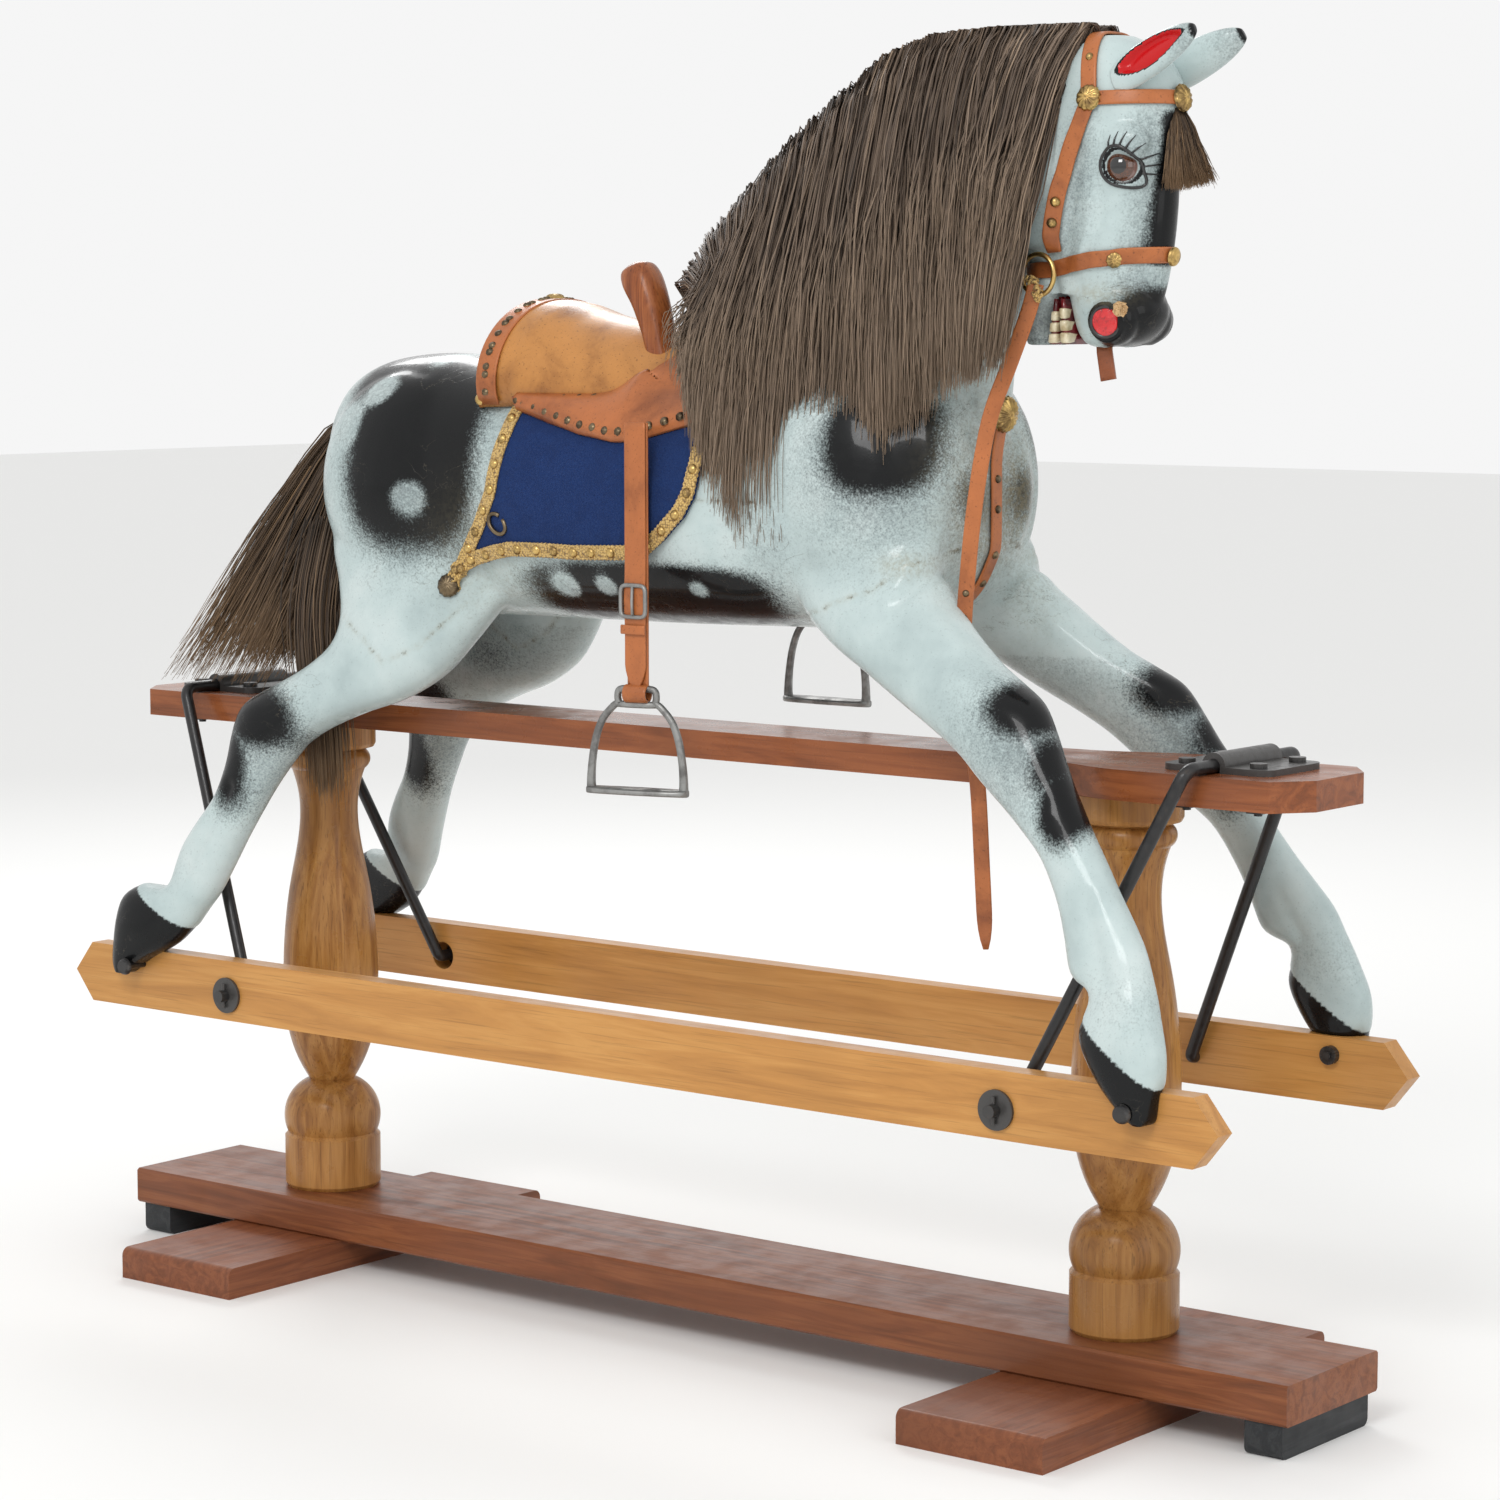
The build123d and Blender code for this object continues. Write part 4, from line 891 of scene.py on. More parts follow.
def make_head():
    """Open-mouthed head in one skin: skull, cheeks, brows, muzzle and jaw, with carved eye and nostril."""
    top_of_neck = [((352, 1172), 50, 92, 52), ((388, 1204), 38, 84, 50), ((430, 1224), 22, 72, 46)]
    parts = [skull_rings(SKULL), skull_rings(JAW), skull_rings(MUZZLE), neck_rings(top_of_neck)]
    parts += both_sides((442, 36, 1150), (50, 24, 64), 8)
    parts += both_sides((533, 36, 1186), (27, 17, 20))
    parts += both_sides((519, 27, 1026), (25, 20, 25))
    parts += both_sides((500, 32, 1116), (34, 14, 60), 12)
    parts += [ellipsoid((548, 0, 1120), (16, 22, 100), 5)]
    obj = fused("horse_head", parts, HEAD_VOXEL, HEAD_SMOOTHING)
    p, n = coords(obj), normals(obj)
    side = (np.abs(p[:, 1]) > 18)
    depth = stroke(p, [(497, 1180), (488, 1140), (479, 1100), (476, 1080)], 8, 2.6) * side
    depth += stroke(p, [(516, 1140), (512, 1110), (500, 1085)], 6, 1.6) * side
    depth -= stroke(p, [(506, 1135), (500, 1105), (492, 1085)], 5, 1.5) * side
    eye = np.hypot(p[:, 0] - EYE[0], p[:, 2] - EYE[1])
    depth += 4.0 * np.exp(-(eye / 12.5) ** 2) * side
    depth -= 2.2 * np.exp(-((eye - 17) / 4.5) ** 2) * side
    nostril = np.hypot((p[:, 0] - NOSTRIL[0]) / 15.5, (p[:, 2] - NOSTRIL[1]) / 14.5)
    depth += 7.0 * step(-nostril, -0.95, -0.55) * side
    depth -= 2.5 * np.exp(-((nostril - 1.12) / 0.16) ** 2) * side
    depth += stroke(p, [(462, 1050), (455, 1062), (450, 1070)], 4, 2.0) * side
    depth -= stroke(p, [(520, 1003), (500, 1000), (486, 1003)], 6, 1.0) * side
    p = p - n * depth[:, None]
    set_coords(obj, p)
    black = np.zeros(len(p))
    stripe = step(-path_distance(p, [(566, 1196), (566, 1140), (556, 1092)]), -26, -10)
    black = np.maximum(black, 1.1 * stripe * step(-np.abs(p[:, 1]), -34, -10) * (p[:, 0] > 520))
    tip = lump(p, (552, 0, 1024), (27, 70, 30), 2.6)
    tip = np.maximum(tip, lump(p, (528, 30, 1003), (22, 40, 9), 2.4))
    black = np.maximum(black, 1.5 * tip)
    black = np.maximum(black, 0.5 * lump(p, (440, 0, 1004), (60, 60, 12)))
    black = np.maximum(black, 1.5 * (np.abs(nostril - 1.0) < 0.17) * side)
    black = np.maximum(black, 1.4 * step(-np.abs(eye - 15.4), -2.0, -1.0) * side)
    red = 1.0 * (nostril < 0.88) * side
    mouth = (p[:, 2] < 1046) & (p[:, 0] > 444) & (p[:, 0] < 476) & (np.abs(p[:, 1]) < 60)
    gum = path_distance(p, [(449, 1000), (452, 1030), (459, 1048), (467, 1030), (473, 1000)])
    red = np.maximum(red, 0.9 * (gum < 3.2) * mouth)
    grey = 0.5 * lump(p, (497, 50, 1175), (26, 60, 60)) + 0.4 * lump(p, (470, 50, 1100), (30, 60, 50))
    grey = np.maximum(grey, 0.8 * lump(p, (540, 0, 1040), (30, 80, 40)))
    grey = np.maximum(grey, 0.8 * lump(p, (425, 0, 1030), (30, 80, 50)))
    grey = np.maximum(grey, 0.5 * step(-path_distance(p, [(566, 1196), (566, 1140), (556, 1092)]), -46,
                                       -10))
    warm = 0.5 * lump(p, (505, 45, 1048), (30, 30, 10)) + 0.4 * lump(p, (478, 45, 1020), (8, 30, 20))
    for key, values in (("black", black), ("grey", grey), ("warm", warm), ("red", red)):
        set_attribute(obj, key, values)
    return dress(obj, "dapple_paint", "horse", ("head",))


def make_nostrils(tree):
    """Red bowls with black rims, and a chip of bare wood beside the near one."""
    bowls, rims = [], []
    for side in (-1, 1):
        place, out = on_skin(tree, (NOSTRIL[0], side * 120, NOSTRIL[1]), (0, -side, 0), 0.0)
        out = np.array((0.18, side * 1.0, -0.05))
        out /= np.linalg.norm(out)
        u = np.cross(out, (0, 0, 1.0))
        u /= np.linalg.norm(u)
        v = np.cross(out, u)
        bowls.append(dome(place + out * 3.2, out, 14.6, 2.6, 64, 12))
        loop = []
        for a in np.linspace(0, 2 * math.pi, 72, endpoint=False):
            loop.append(place + out * (3.6 + 0.5 * math.sin(3 * a)) + u * 14.6 * math.cos(a) + v * 14.0
                        * math.sin(a))
        rims.append(wire(np.array(loop), 2.0, 10, True))
    new_object("nostril_bowls", *merge(bowls), "nostril_red")
    new_object("nostril_rims", *merge(rims), "ink")
    place, out = on_skin(tree, (535, -120, 1034), (0, 1, 0), 1.5)
    points, faces = dome(place - out * 0.5, out, 7.0, 3.6, 26, 8)
    points[:, 2] = place[2] + (points[:, 2] - place[2]) * 1.25 + 0.35 * (points[:, 0] - place[0])
    points = points + rng.normal(0, 0.75, points.shape)
    new_object("nose_chip", points, faces, "bare_wood", smooth=False)


def make_teeth():
    """Two rows of carved teeth set in red gums."""
    teeth, gums = [], []
    for x0, x1, top, lean in ((449, 459, 1034, 3), (463, 473, 1037, -3)):
        for side in (1, -1):
            for k in range(3):
                low = 1003 + k * (top - 1003) / 3
                high = 1003 + (k + 1) * (top - 1003) / 3 - 1.6
                shrink = k * 1.1
                rings = []
                for z, pinch in ((low, 0.8), (low + 1.2, 0.0), (high - 1.2, 0.0), (high, 0.8)):
                    middle = (x0 + x1) / 2 + lean * (z - 1003) / 34
                    half = (x1 - x0) / 2 - pinch - shrink * 0.5
                    rings.append(oval_ring((middle, side * 21, z), (1, 0, 0), (0, 1, 0), half, 14 - pinch,
                                           5.0, 20))
                teeth.append(tube(rings))
        middle = (x0 + x1) / 2
        rings = [oval_ring((middle + lean * t, 0, 1002 + 42 * t), (1, 0, 0), (0, 1, 0), 5.6 - 2.5 * t, 33.5,
                           4.0, 32)
                 for t in np.linspace(0, 1, 6)]
        gums.append(tube(rings))
    new_object("teeth_rows", *merge(teeth), "tooth_paint", replaces=("teeth",))
    new_object("gums", *merge(gums), "gums")


def make_eyes(tree):
    """Glass eyes with a painted almond outline and lashes."""
    lines = []
    for side, word in ((-1, "right"), (1, "left")):
        centre = np.array((EYE[0] - 4, side * 35.0, EYE[1]))
        outward = Vector((0.26, side, 0.02)).normalized()
        u = outward.orthogonal().normalized()
        v = outward.cross(u)
        points, ring = [], []
        for k in range(25):
            angle = math.pi * k / 24
            for i in range(40):
                turn = 2 * math.pi * i / 40
                direction = outward * math.cos(angle) + (u * math.cos(turn) + v
                                                         * math.sin(turn)) * math.sin(angle)
                points.append(centre + np.array(direction) * 16.5)
                ring.append(math.sin(min(angle, math.pi / 2)))
        new_object("eye_" + word, points, loop_faces(25, 40, False), "glass_eye",
                   replaces=("eyes",) if side < 0 else (), attributes={"ring": ring})

        def drawn(outline, width, closed=False):
            path = []
            for dx, dz in outline:
                start = (EYE[0] + dx, side * 120, EYE[1] + dz)
                place, _ = on_skin(tree, start, (0, -side, 0), 0.4, (EYE[0] + dx, side * 40, EYE[1] + dz))
                path.append(place)
            lines.append(wire(np.array(path), width, 8, closed))
        almond = [(17 * math.cos(a) - 1 + 4.5 * max(0, math.cos(a + 0.75)) ** 6,
                   18 * math.sin(a) - 5 * max(0, math.cos(a + 0.75)) ** 5)
                  for a in np.linspace(0, 2 * math.pi, 48, endpoint=False)]
        drawn(almond, 1.5, True)
        for a in np.radians((18, 38, 58, 78, 98, 118, -2, -22)):
            lash = [(17 * math.cos(a), 18 * math.sin(a)), (21 * math.cos(a) + 1, 23 * math.sin(a) + 1),
                    (24 * math.cos(a) + 4, 28 * math.sin(a) + 3)]
            drawn(lash, np.array((1.2, 0.9, 0.3)))
    new_object("eye_lines", *merge(lines), "ink")


def make_ears():
    """Pricked ears, hollow and red inside."""
    for side, word in ((-1, "right"), (1, "left")):
        base = np.array((524, side * 33, 1243.0))
        tip = np.array((611, side * 42, 1284.0))
        axis = (tip - base) / np.linalg.norm(tip - base)
        out = np.array((-0.35, side * 0.9, 0.25))
        out -= axis * out.dot(axis)
        out /= np.linalg.norm(out)
        cross = np.cross(axis, out)
        outer = []
        for t in np.linspace(0, 1, 70):
            width = 18.5 * math.sqrt(max(0.0, 1 - ((t - 0.33) / 0.69) ** 2)) + 0.8
            centre = base + (tip - base) * t
            outer.append(oval_ring(centre, cross, out, width, width * 0.62, 2.0, 72))
        points, faces = tube(outer)
        t = ((points - base) @ axis) / np.linalg.norm(tip - base)
        across = (points - base) @ cross
        facing = (points - base) @ out
        width = 18.5 * np.sqrt(np.maximum(0.02, 1 - ((t - 0.33) / 0.69) ** 2))
        bowl = (1 - (across / (0.80 * width)) ** 2 - ((t - 0.50) / 0.42) ** 2) * (facing > 0)
        hollow = step(bowl, 0.0, 0.55)
        points = points - np.outer(hollow * width * 0.5, out)
        red = bowl > 0.10
        black = 1.3 * (np.abs(bowl - 0.04) < 0.09) * (facing > 0) + 0.9 * step(t, 0.92, 1.0)
        new_object("ear_" + word, points, faces, "dapple_paint", replaces=("ears",) if side < 0 else (),
                   attributes={"black": black, "grey": 0.5 * step(t, 0.3, 1.0), "warm": np.zeros(len(t)),
                               "red": red.astype(float)})


def skin(objects):
    """Ray-cast tree of several finished objects, in millimetres."""
    parts = []
    for obj in objects:
        points = coords(obj)
        obj.data.calc_loop_triangles()
        tris = np.empty(len(obj.data.loop_triangles) * 3, int)
        obj.data.loop_triangles.foreach_get("vertices", tris)
        parts.append((points, tris.reshape(-1, 3).tolist()))
    points, faces = merge(parts)
    return BVHTree.FromPolygons([tuple(q) for q in points], faces)


def on_skin(tree, start, direction, lift=0.0, fallback=None):
    """The first hit from start along direction, raised by lift, with its outward normal."""
    way = Vector(direction).normalized()
    hit, normal, _, _ = tree.ray_cast(Vector(start), way)
    if hit is None:
        return (np.array(fallback if fallback is not None else start, float), -np.array(way))
    if normal.dot(way) > 0:
        normal = -normal
    return np.array(hit + normal * lift), np.array(normal)


# ---------------------------------------------------------------- hair
def strand_mesh(name, paths, radius, tone, material, replaces=()):
    """Many tapering three-sided strands; paths is (strands, points, xyz) in millimetres."""
    count, steps, _ = paths.shape
    along = np.linspace(0, 1, steps)
    taper = (1 - 0.75 * along ** 2.2)[None, :] * radius[:, None]
    tangent = np.gradient(paths, axis=1)
    tangent /= np.linalg.norm(tangent, axis=2, keepdims=True) + 1e-9
    side = np.cross(tangent, np.array((0.31, 0.9, 0.3)))
    side /= np.linalg.norm(side, axis=2, keepdims=True) + 1e-9
    other = np.cross(tangent, side)
    rings = []
    for k in range(3):
        angle = 2 * math.pi * k / 3
        rings.append(paths + (side * math.cos(angle) + other * math.sin(angle)) * taper[:, :, None])
    points = np.stack(rings, axis=2).reshape(-1, 3)
    base = (np.arange(count) * steps * 3)[:, None, None]
    row = (np.arange(steps - 1) * 3)[None, :, None]
    k = np.arange(3)[None, None, :]
    a, b = base + row + k, base + row + (k + 1) % 3
    quads = np.stack([a, b, b + 3, a + 3], axis=-1).reshape(-1, 4)
    first = base[:, 0] + np.array([[2, 1, 0]])
    last = base[:, 0] + (steps - 1) * 3 + np.array([[0, 1, 2]])
    mesh = bpy.data.meshes.new(name)
    mesh.from_pydata((points * MM).tolist(), [], quads.tolist() + first.tolist() + last.tolist())
    mesh.update()
    mesh.polygons.foreach_set("use_smooth", [True] * len(mesh.polygons))
    obj = bpy.data.objects.new(name, mesh)
    bpy.context.collection.objects.link(obj)
    set_attribute(obj, "tone", np.repeat(tone, steps * 3))
    set_attribute(obj, "along", np.tile(np.repeat(along, 3), count))
    return dress(obj, material, "horse", replaces)


def spread_curve(controls, samples):
    """Catmull-Rom through (strands, controls, xyz), sampled evenly along its controls."""
    n = controls.shape[1]
    ends = [2 * controls[:, :1] - controls[:, 1:2], controls, 2 * controls[:, -1:] - controls[:, -2:-1]]
    pts = np.concatenate(ends, axis=1)
    out = []
    for t in np.linspace(0, n - 1 - 1e-6, samples):
        i, f = int(t), t - int(t)
        a, b, c, d = (pts[:, i + j] for j in range(4))
        out.append(0.5 * (2 * b + (c - a) * f + (2 * a - 5 * b + 4 * c - d) * f * f
                          + (3 * b - a - 3 * c + d) * f ** 3))
    return np.stack(out, axis=1)


def table_at(rows, u):
    """Looks up evenly spaced rows at u from 0 to 1."""
    rows = np.array(rows, float)
    at = np.linspace(0, 1, len(rows))
    return np.stack([np.interp(u, at, rows[:, k]) for k in range(rows.shape[1])], axis=-1)


# from withers to poll: crest of the neck, top of the pile of hair, ends of the hair on the near side
CREST = [(48, 968), (80, 1018), (118, 1072), (165, 1122), (222, 1187), (290, 1246), (345, 1272),
         (402, 1286),
         (482, 1286)]
PILE = [(-6, 1060), (30, 1106), (81, 1150), (131, 1197), (192, 1238), (252, 1278), (310, 1294), (384, 1297),
        (486, 1296)]
ENDS = [(84, 985), (94, 935), (114, 878), (158, 842), (214, 836), (276, 876), (336, 946), (390, 992),
        (430, 1004)]


def mane_controls(count, side, reach):
    """Strand guides that rise from the crest, roll over the pile and fall down one side in locks."""
    locks = 190
    lock_u = rng.uniform(0, 1, locks) ** 0.95
    lock_drop = rng.uniform(-34, 10, locks)
    lock_y = rng.uniform(-8, 9, locks)
    lock_tone = rng.uniform(-0.16, 0.16, locks)
    u = rng.uniform(0, 1, count)
    u = np.where(rng.uniform(0, 1, count) < 0.12, rng.uniform(0.9, 1, count), u)
    order = np.argsort(lock_u)
    nearest = order[np.clip(np.searchsorted(lock_u[order], u), 0, locks - 1)]
    pull = rng.uniform(0.35, 0.85, count)
    end_u = np.clip(u * (1 - pull) + lock_u[nearest] * pull + rng.normal(0, 0.012, count), 0, 1)
    height = rng.uniform(0.12, 1.0, count) ** 0.8
    root, pile, end = table_at(CREST, u), table_at(PILE, u), table_at(ENDS, end_u)
    top = root + (pile - root) * height[:, None]
    short = reach * np.where(rng.uniform(0, 1, count) < 0.25, rng.uniform(0.55, 0.9, count), 1.0)
    end = top + (end - top) * short[:, None]
    end[:, 1] += lock_drop[nearest] * 0.8 + rng.normal(0, 5, count)
    end[:, 0] += rng.normal(0, 3, count)
    wave = rng.normal(0, 6.0, (count, 2))
    zeros = np.zeros(count)

    def at(xz, y):
        return np.stack([xz[:, 0], side * y, xz[:, 1]], axis=-1)
    outer = height * 16 + rng.uniform(-4, 4, count)
    lower = np.interp(u, [0, 0.3, 0.6, 1], [92, 104, 92, 70])
    rear = (1 - end_u) ** 2
    one = top + (end - top) * 0.27 + np.stack([rear * 44, zeros + 10], axis=-1)
    two = top + (end - top) * 0.52 + wave * 0.5 + np.stack([rear * 34, zeros], axis=-1)
    three = top + (end - top) * 0.78 - wave * 0.4 + np.stack([rear * 14, zeros], axis=-1)
    controls = np.stack([at(root, rng.uniform(-6, 8, count)), at(top, 14 + 14 * rng.uniform(0, 1, count)),
                         at(one, 0.56 * lower + outer), at(two, 0.84 * lower + outer),
                         at(three, 1.0 * lower + outer + lock_y[nearest]),
                         at(end, 1.08 * lower + outer * 0.8 + lock_y[nearest])], axis=1)
    tone = np.clip(0.48 + lock_tone[nearest] + rng.normal(0, 0.17, count), 0, 1)
    return controls, tone


def make_mane():
    for index, (count, side, reach) in enumerate(((3200, -1, 1.0), (3200, -1, 1.0), (3100, -1, 0.95),
                                                  (2400, 1, 0.55))):
        controls, tone = mane_controls(count, side, reach)
        paths = spread_curve(controls, 11)
        phase = rng.uniform(0, 6.28, count)[:, None]
        sway = np.sin(np.linspace(0, 9, 11)[None, :] + phase) * np.linspace(0, 1.8, 11)[None, :]
        paths[:, :, 0] += sway
        strand_mesh("mane_%d" % index, paths, rng.uniform(0.7, 1.25, count), tone, "horse_hair",
                    ("mane",) if index == 0 else ())
    bed = []
    for side, reach in ((-1, 0.9), (1, 0.5)):
        u = np.linspace(0.01, 0.99, 70)
        root, pile, end = table_at(CREST, u), table_at(PILE, u), table_at(ENDS, u)
        lower = np.interp(u, [0, 0.3, 0.6, 1], [92, 104, 92, 70])
        top = root + (pile - root) * 0.55
        end = top + (end - top) * reach
        rows = []
        for t, y in ((0, 12), (0.27, 0.52), (0.52, 0.78), (0.78, 0.94), (0.95, 1.0)):
            xz = top + (end - top) * t + np.stack([(1 - u) ** 2 * 46 * math.sin(math.pi * t), 0 * u],
                                                  axis=-1)
            rows.append(np.stack([xz[:, 0], side * (y if y > 1 else y * lower) + 0 * u, xz[:, 1]], axis=-1))
        rows = [np.stack([root[:, 0], root[:, 0] * 0, root[:, 1]], axis=-1)] + rows
        outer = spread_curve(np.stack(rows, axis=1), 26)
        inner = outer - np.array((0, side * 5.0, 4.0))
        ring = np.concatenate([outer, inner[:, ::-1]], axis=1)
        bed.append((ring.reshape(-1, 3), loop_faces(70, 52)))
    points, faces = merge(bed)
    new_object("mane_bed", points, faces, "tail_hair",
               attributes={"tone": np.full(len(points), 0.35), "along": np.full(len(points), 0.3)})


def make_tail():
    """Tail hair on the rump: strands over the rail stop short of it, and the near ones hang past it."""
    for index, count in enumerate((3200, 1800)):
        s = rng.uniform(0, 1, count)
        y = rng.normal(0, 0.42, count).clip(-1, 1)
        left = table_at([(-462, 924), (-502, 905), (-550, 838), (-596, 760), (-650, 672), (-690, 612)],
                        np.linspace(0, 1, 6))
        right = table_at([(-452, 894), (-470, 872), (-476, 800), (-482, 740), (-492, 672), (-520, 616)],
                         np.linspace(0, 1, 6))
        guides = left[None] * (1 - s[:, None, None]) + right[None] * s[:, None, None]
        hang = (y < -0.52).astype(float)
        short = np.where(rng.uniform(0, 1, count) < 0.6, rng.uniform(0.62, 0.79, count),
                         rng.uniform(0.79, 0.88, count))
        short = short * (1 - hang) + hang * rng.uniform(0.80, 0.94, count)
        width = np.array([12, 22, 40, 58, 66, 70])
        at = short[:, None] * np.linspace(0, 5, 6)[None, :]
        lo = np.floor(at).astype(int).clip(0, 4)
        frac = (at - lo)[:, :, None]
        rows = np.arange(count)[:, None]
        path = guides[rows, lo] * (1 - frac) + guides[rows, lo + 1] * frac
        ys = y[:, None] * np.interp(at, np.arange(6), width)
        ys -= hang[:, None] * np.linspace(0, 1, 6)[None, :] ** 2 * 42
        noise = rng.normal(0, 3, (count, 6, 3)) * np.linspace(0, 1, 6)[None, :, None]
        controls = np.stack([path[:, :, 0], ys, path[:, :, 1]], axis=-1) + noise
        lock = rng.uniform(0, 1, count) < 0.07
        drop = np.array([(-452, -62, 800), (-450, -84, 740), (-448, -92, 690), (-440, -95, 640),
                         (-432, -96, 590),
                         (-428, -96, 532)], float)
        controls[lock] = drop[None] + rng.normal(0, 1, (int(lock.sum()), 1, 3)) * np.array((15, 2.5, 10))
        tone = np.clip(0.45 + rng.normal(0, 0.2, count), 0, 1)
        strand_mesh("tail_%d" % index, spread_curve(controls, 11), rng.uniform(0.6, 1.1, count), tone,
                    "tail_hair",
                    ("tail",) if index == 0 else ())


def make_forelock():
    count = 1300
    fan = rng.uniform(-1, 1, count)
    depth = rng.uniform(-1, 1, count)
    shrink = rng.uniform(0.9, 1.03, count)
    controls = np.stack([
        np.stack([567 + depth * 3, fan * 7, 1216 + fan * 0], axis=-1),
        np.stack([572 + depth * 4, fan * 14, np.full(count, 1198.0)], axis=-1),
        np.stack([576 + depth * 7, fan * 23, np.full(count, 1176.0)], axis=-1),
        np.stack([580 + depth * 11, fan * 32 + 3, 1214 - 68 * shrink + 4 * fan], axis=-1)], axis=1)
    controls[:, 1:] += rng.normal(0, 1.2, (count, 3, 3))
    tone = np.clip(0.55 + rng.normal(0, 0.2, count), 0, 1)
    strand_mesh("forelock_hair", spread_curve(controls, 7), rng.uniform(0.45, 0.75, count), tone,
                "tail_hair",
                ("forelock",))


# ---------------------------------------------------------------- saddle and cloth
AXIS_Z = 850.0        # the saddle and cloth are drawn by angle round this line, nought at the top


def at_angle(tree, x, degrees, side, lift):
    """Point and normal on a surface, seen from outside towards the horse's middle line."""
    a = math.radians(degrees)
    out = Vector((0, side * math.sin(a), math.cos(a)))
    start = Vector((x, 0, AXIS_Z)) + out * 420
    return on_skin(tree, start, -out, lift, Vector((x, 0, AXIS_Z)) + out * 100)


def angle_of(y, z):
    return math.degrees(math.atan2(abs(y), z - AXIS_Z))


CLOTH_BACK = [(-160, 0), (-160, 26), (-160, 50), (-161, 62), (-166, 76), (-172, 90), (-190, 105),
              (-212, 117), (-236, 131)]
CLOTH_FRONT = [(107, 0), (108, 25), (108, 45), (108, 62), (108, 76), (104, 88), (92, 97), (66, 107),
               (34, 116)]
CLOTH_HEM = [(-236, 131), (-214, 127), (-193, 123.6), (-165, 120), (-139, 117.6), (-90, 117.2),
             (-56, 117.5), (-20, 117), (34, 116)]


def cloth_point(s, t):
    """(x, angle) on the saddle cloth: s from back to front, t from spine to hem."""
    back, front, hem = table_at(CLOTH_BACK, t), table_at(CLOTH_FRONT, t), table_at(CLOTH_HEM, s)
    spine = np.array((-160 + 267 * s, 0.0))
    ruled = back * (1 - s) + front * s
    cross = spine * (1 - t) + hem * t
    corner = (np.array(CLOTH_BACK[0]) * (1 - s) + np.array(CLOTH_FRONT[0]) * s) * (1 - t)
    corner = corner + (np.array(CLOTH_HEM[0]) * (1 - s) + np.array(CLOTH_HEM[-1]) * s) * t
    return ruled + cross - corner


def make_cloth(tree):
    across, down = 90, 60
    ts = np.concatenate([-np.linspace(1, 0, down + 1)[:-1], np.linspace(0, 1, down + 1)])
    points = []
    for s in np.linspace(0, 1, across + 1):
        for t in ts:
            x, angle = cloth_point(s, abs(t))
            place, _ = at_angle(tree, x, angle, 1 if t > 0 else -1, 2.4)
            points.append(place)
    points = np.array(points).reshape(across + 1, len(ts), 3)
    for _ in range(3):
        points[1:-1, 1:-1] = (points[1:-1, 1:-1] * 2 + points[:-2, 1:-1] + points[2:, 1:-1]
                              + points[1:-1, :-2]
                              + points[1:-1, 2:]) / 6
    flat = (np.ptp(points[:, :, 0])
            / 1000, np.linalg.norm(np.diff(points, axis=1), axis=2).sum(axis=1).max() / 1000)
    m = len(ts)
    faces = [(i * m + j, (i + 1) * m + j, (i + 1) * m + j + 1,
              i * m + j + 1) for i in range(across) for j in range(m - 1)]
    cloth = new_object("saddle_cloth_felt", points.reshape(-1, 3), faces, "navy_felt",
                       replaces=("saddle_cloth",))
    area = sum(f.area for f in cloth.data.polygons)
    modify(cloth, "SOLIDIFY", thickness=0.0022, offset=1.0)
    bake_modifiers(cloth)
    return cloth, [round(float(length), 3) for length in flat], round(area, 3)


def hem_line():
    """(x, angle) rows along back edge, hem and front edge, moved inwards."""
    inset = 8.0
    line = []
    for t in np.linspace(0.24, 1.0, 30):
        x, a = table_at(CLOTH_BACK, t)
        line.append((x + inset, a))
    for s in np.linspace(0.02, 1.0, 40):
        x, a = table_at(CLOTH_HEM, s)
        line.append((x + (inset if s < 0.06 else 0), a - inset * 0.47))
    for t in np.linspace(0.97, 0.40, 24):
        x, a = table_at(CLOTH_FRONT, t)
        line.append((x - inset * 0.8, a - inset * 0.25))
    return np.array(line)


def ease(rows, rounds):
    """Smooth a line of points in place, keeping its two ends."""
    for _ in range(rounds):
        rows[1:-1] = (rows[:-2] + rows[1:-1] * 2 + rows[2:]) / 4


def strap_on(tree, controls, lift):
    """Path that lies on a surface, close to the given control points, with outward directions."""
    rough = smooth_curve(controls, 14)
    gaps = np.linalg.norm(np.diff(rough, axis=0), axis=1)
    run = np.concatenate([[0], np.cumsum(gaps)])
    at = np.linspace(0, run[-1], max(4, int(run[-1] / 4.0)))
    rough = np.stack([np.interp(at, run, rough[:, k]) for k in range(3)], axis=-1)
    places, outs = [], []
    for q in rough:
        hit, normal, _, _ = tree.find_nearest(Vector(q))
        out = Vector(q) - hit
        if normal.dot(out) < 0 and out.length > 2:
            normal = -normal
        places.append(np.array(hit + normal * lift))
        outs.append(np.array(normal))
    places, outs = np.array(places), np.array(outs)
    ease(places, 3)
    ease(outs, 3)
    outs /= np.linalg.norm(outs, axis=1, keepdims=True)
    return places, outs


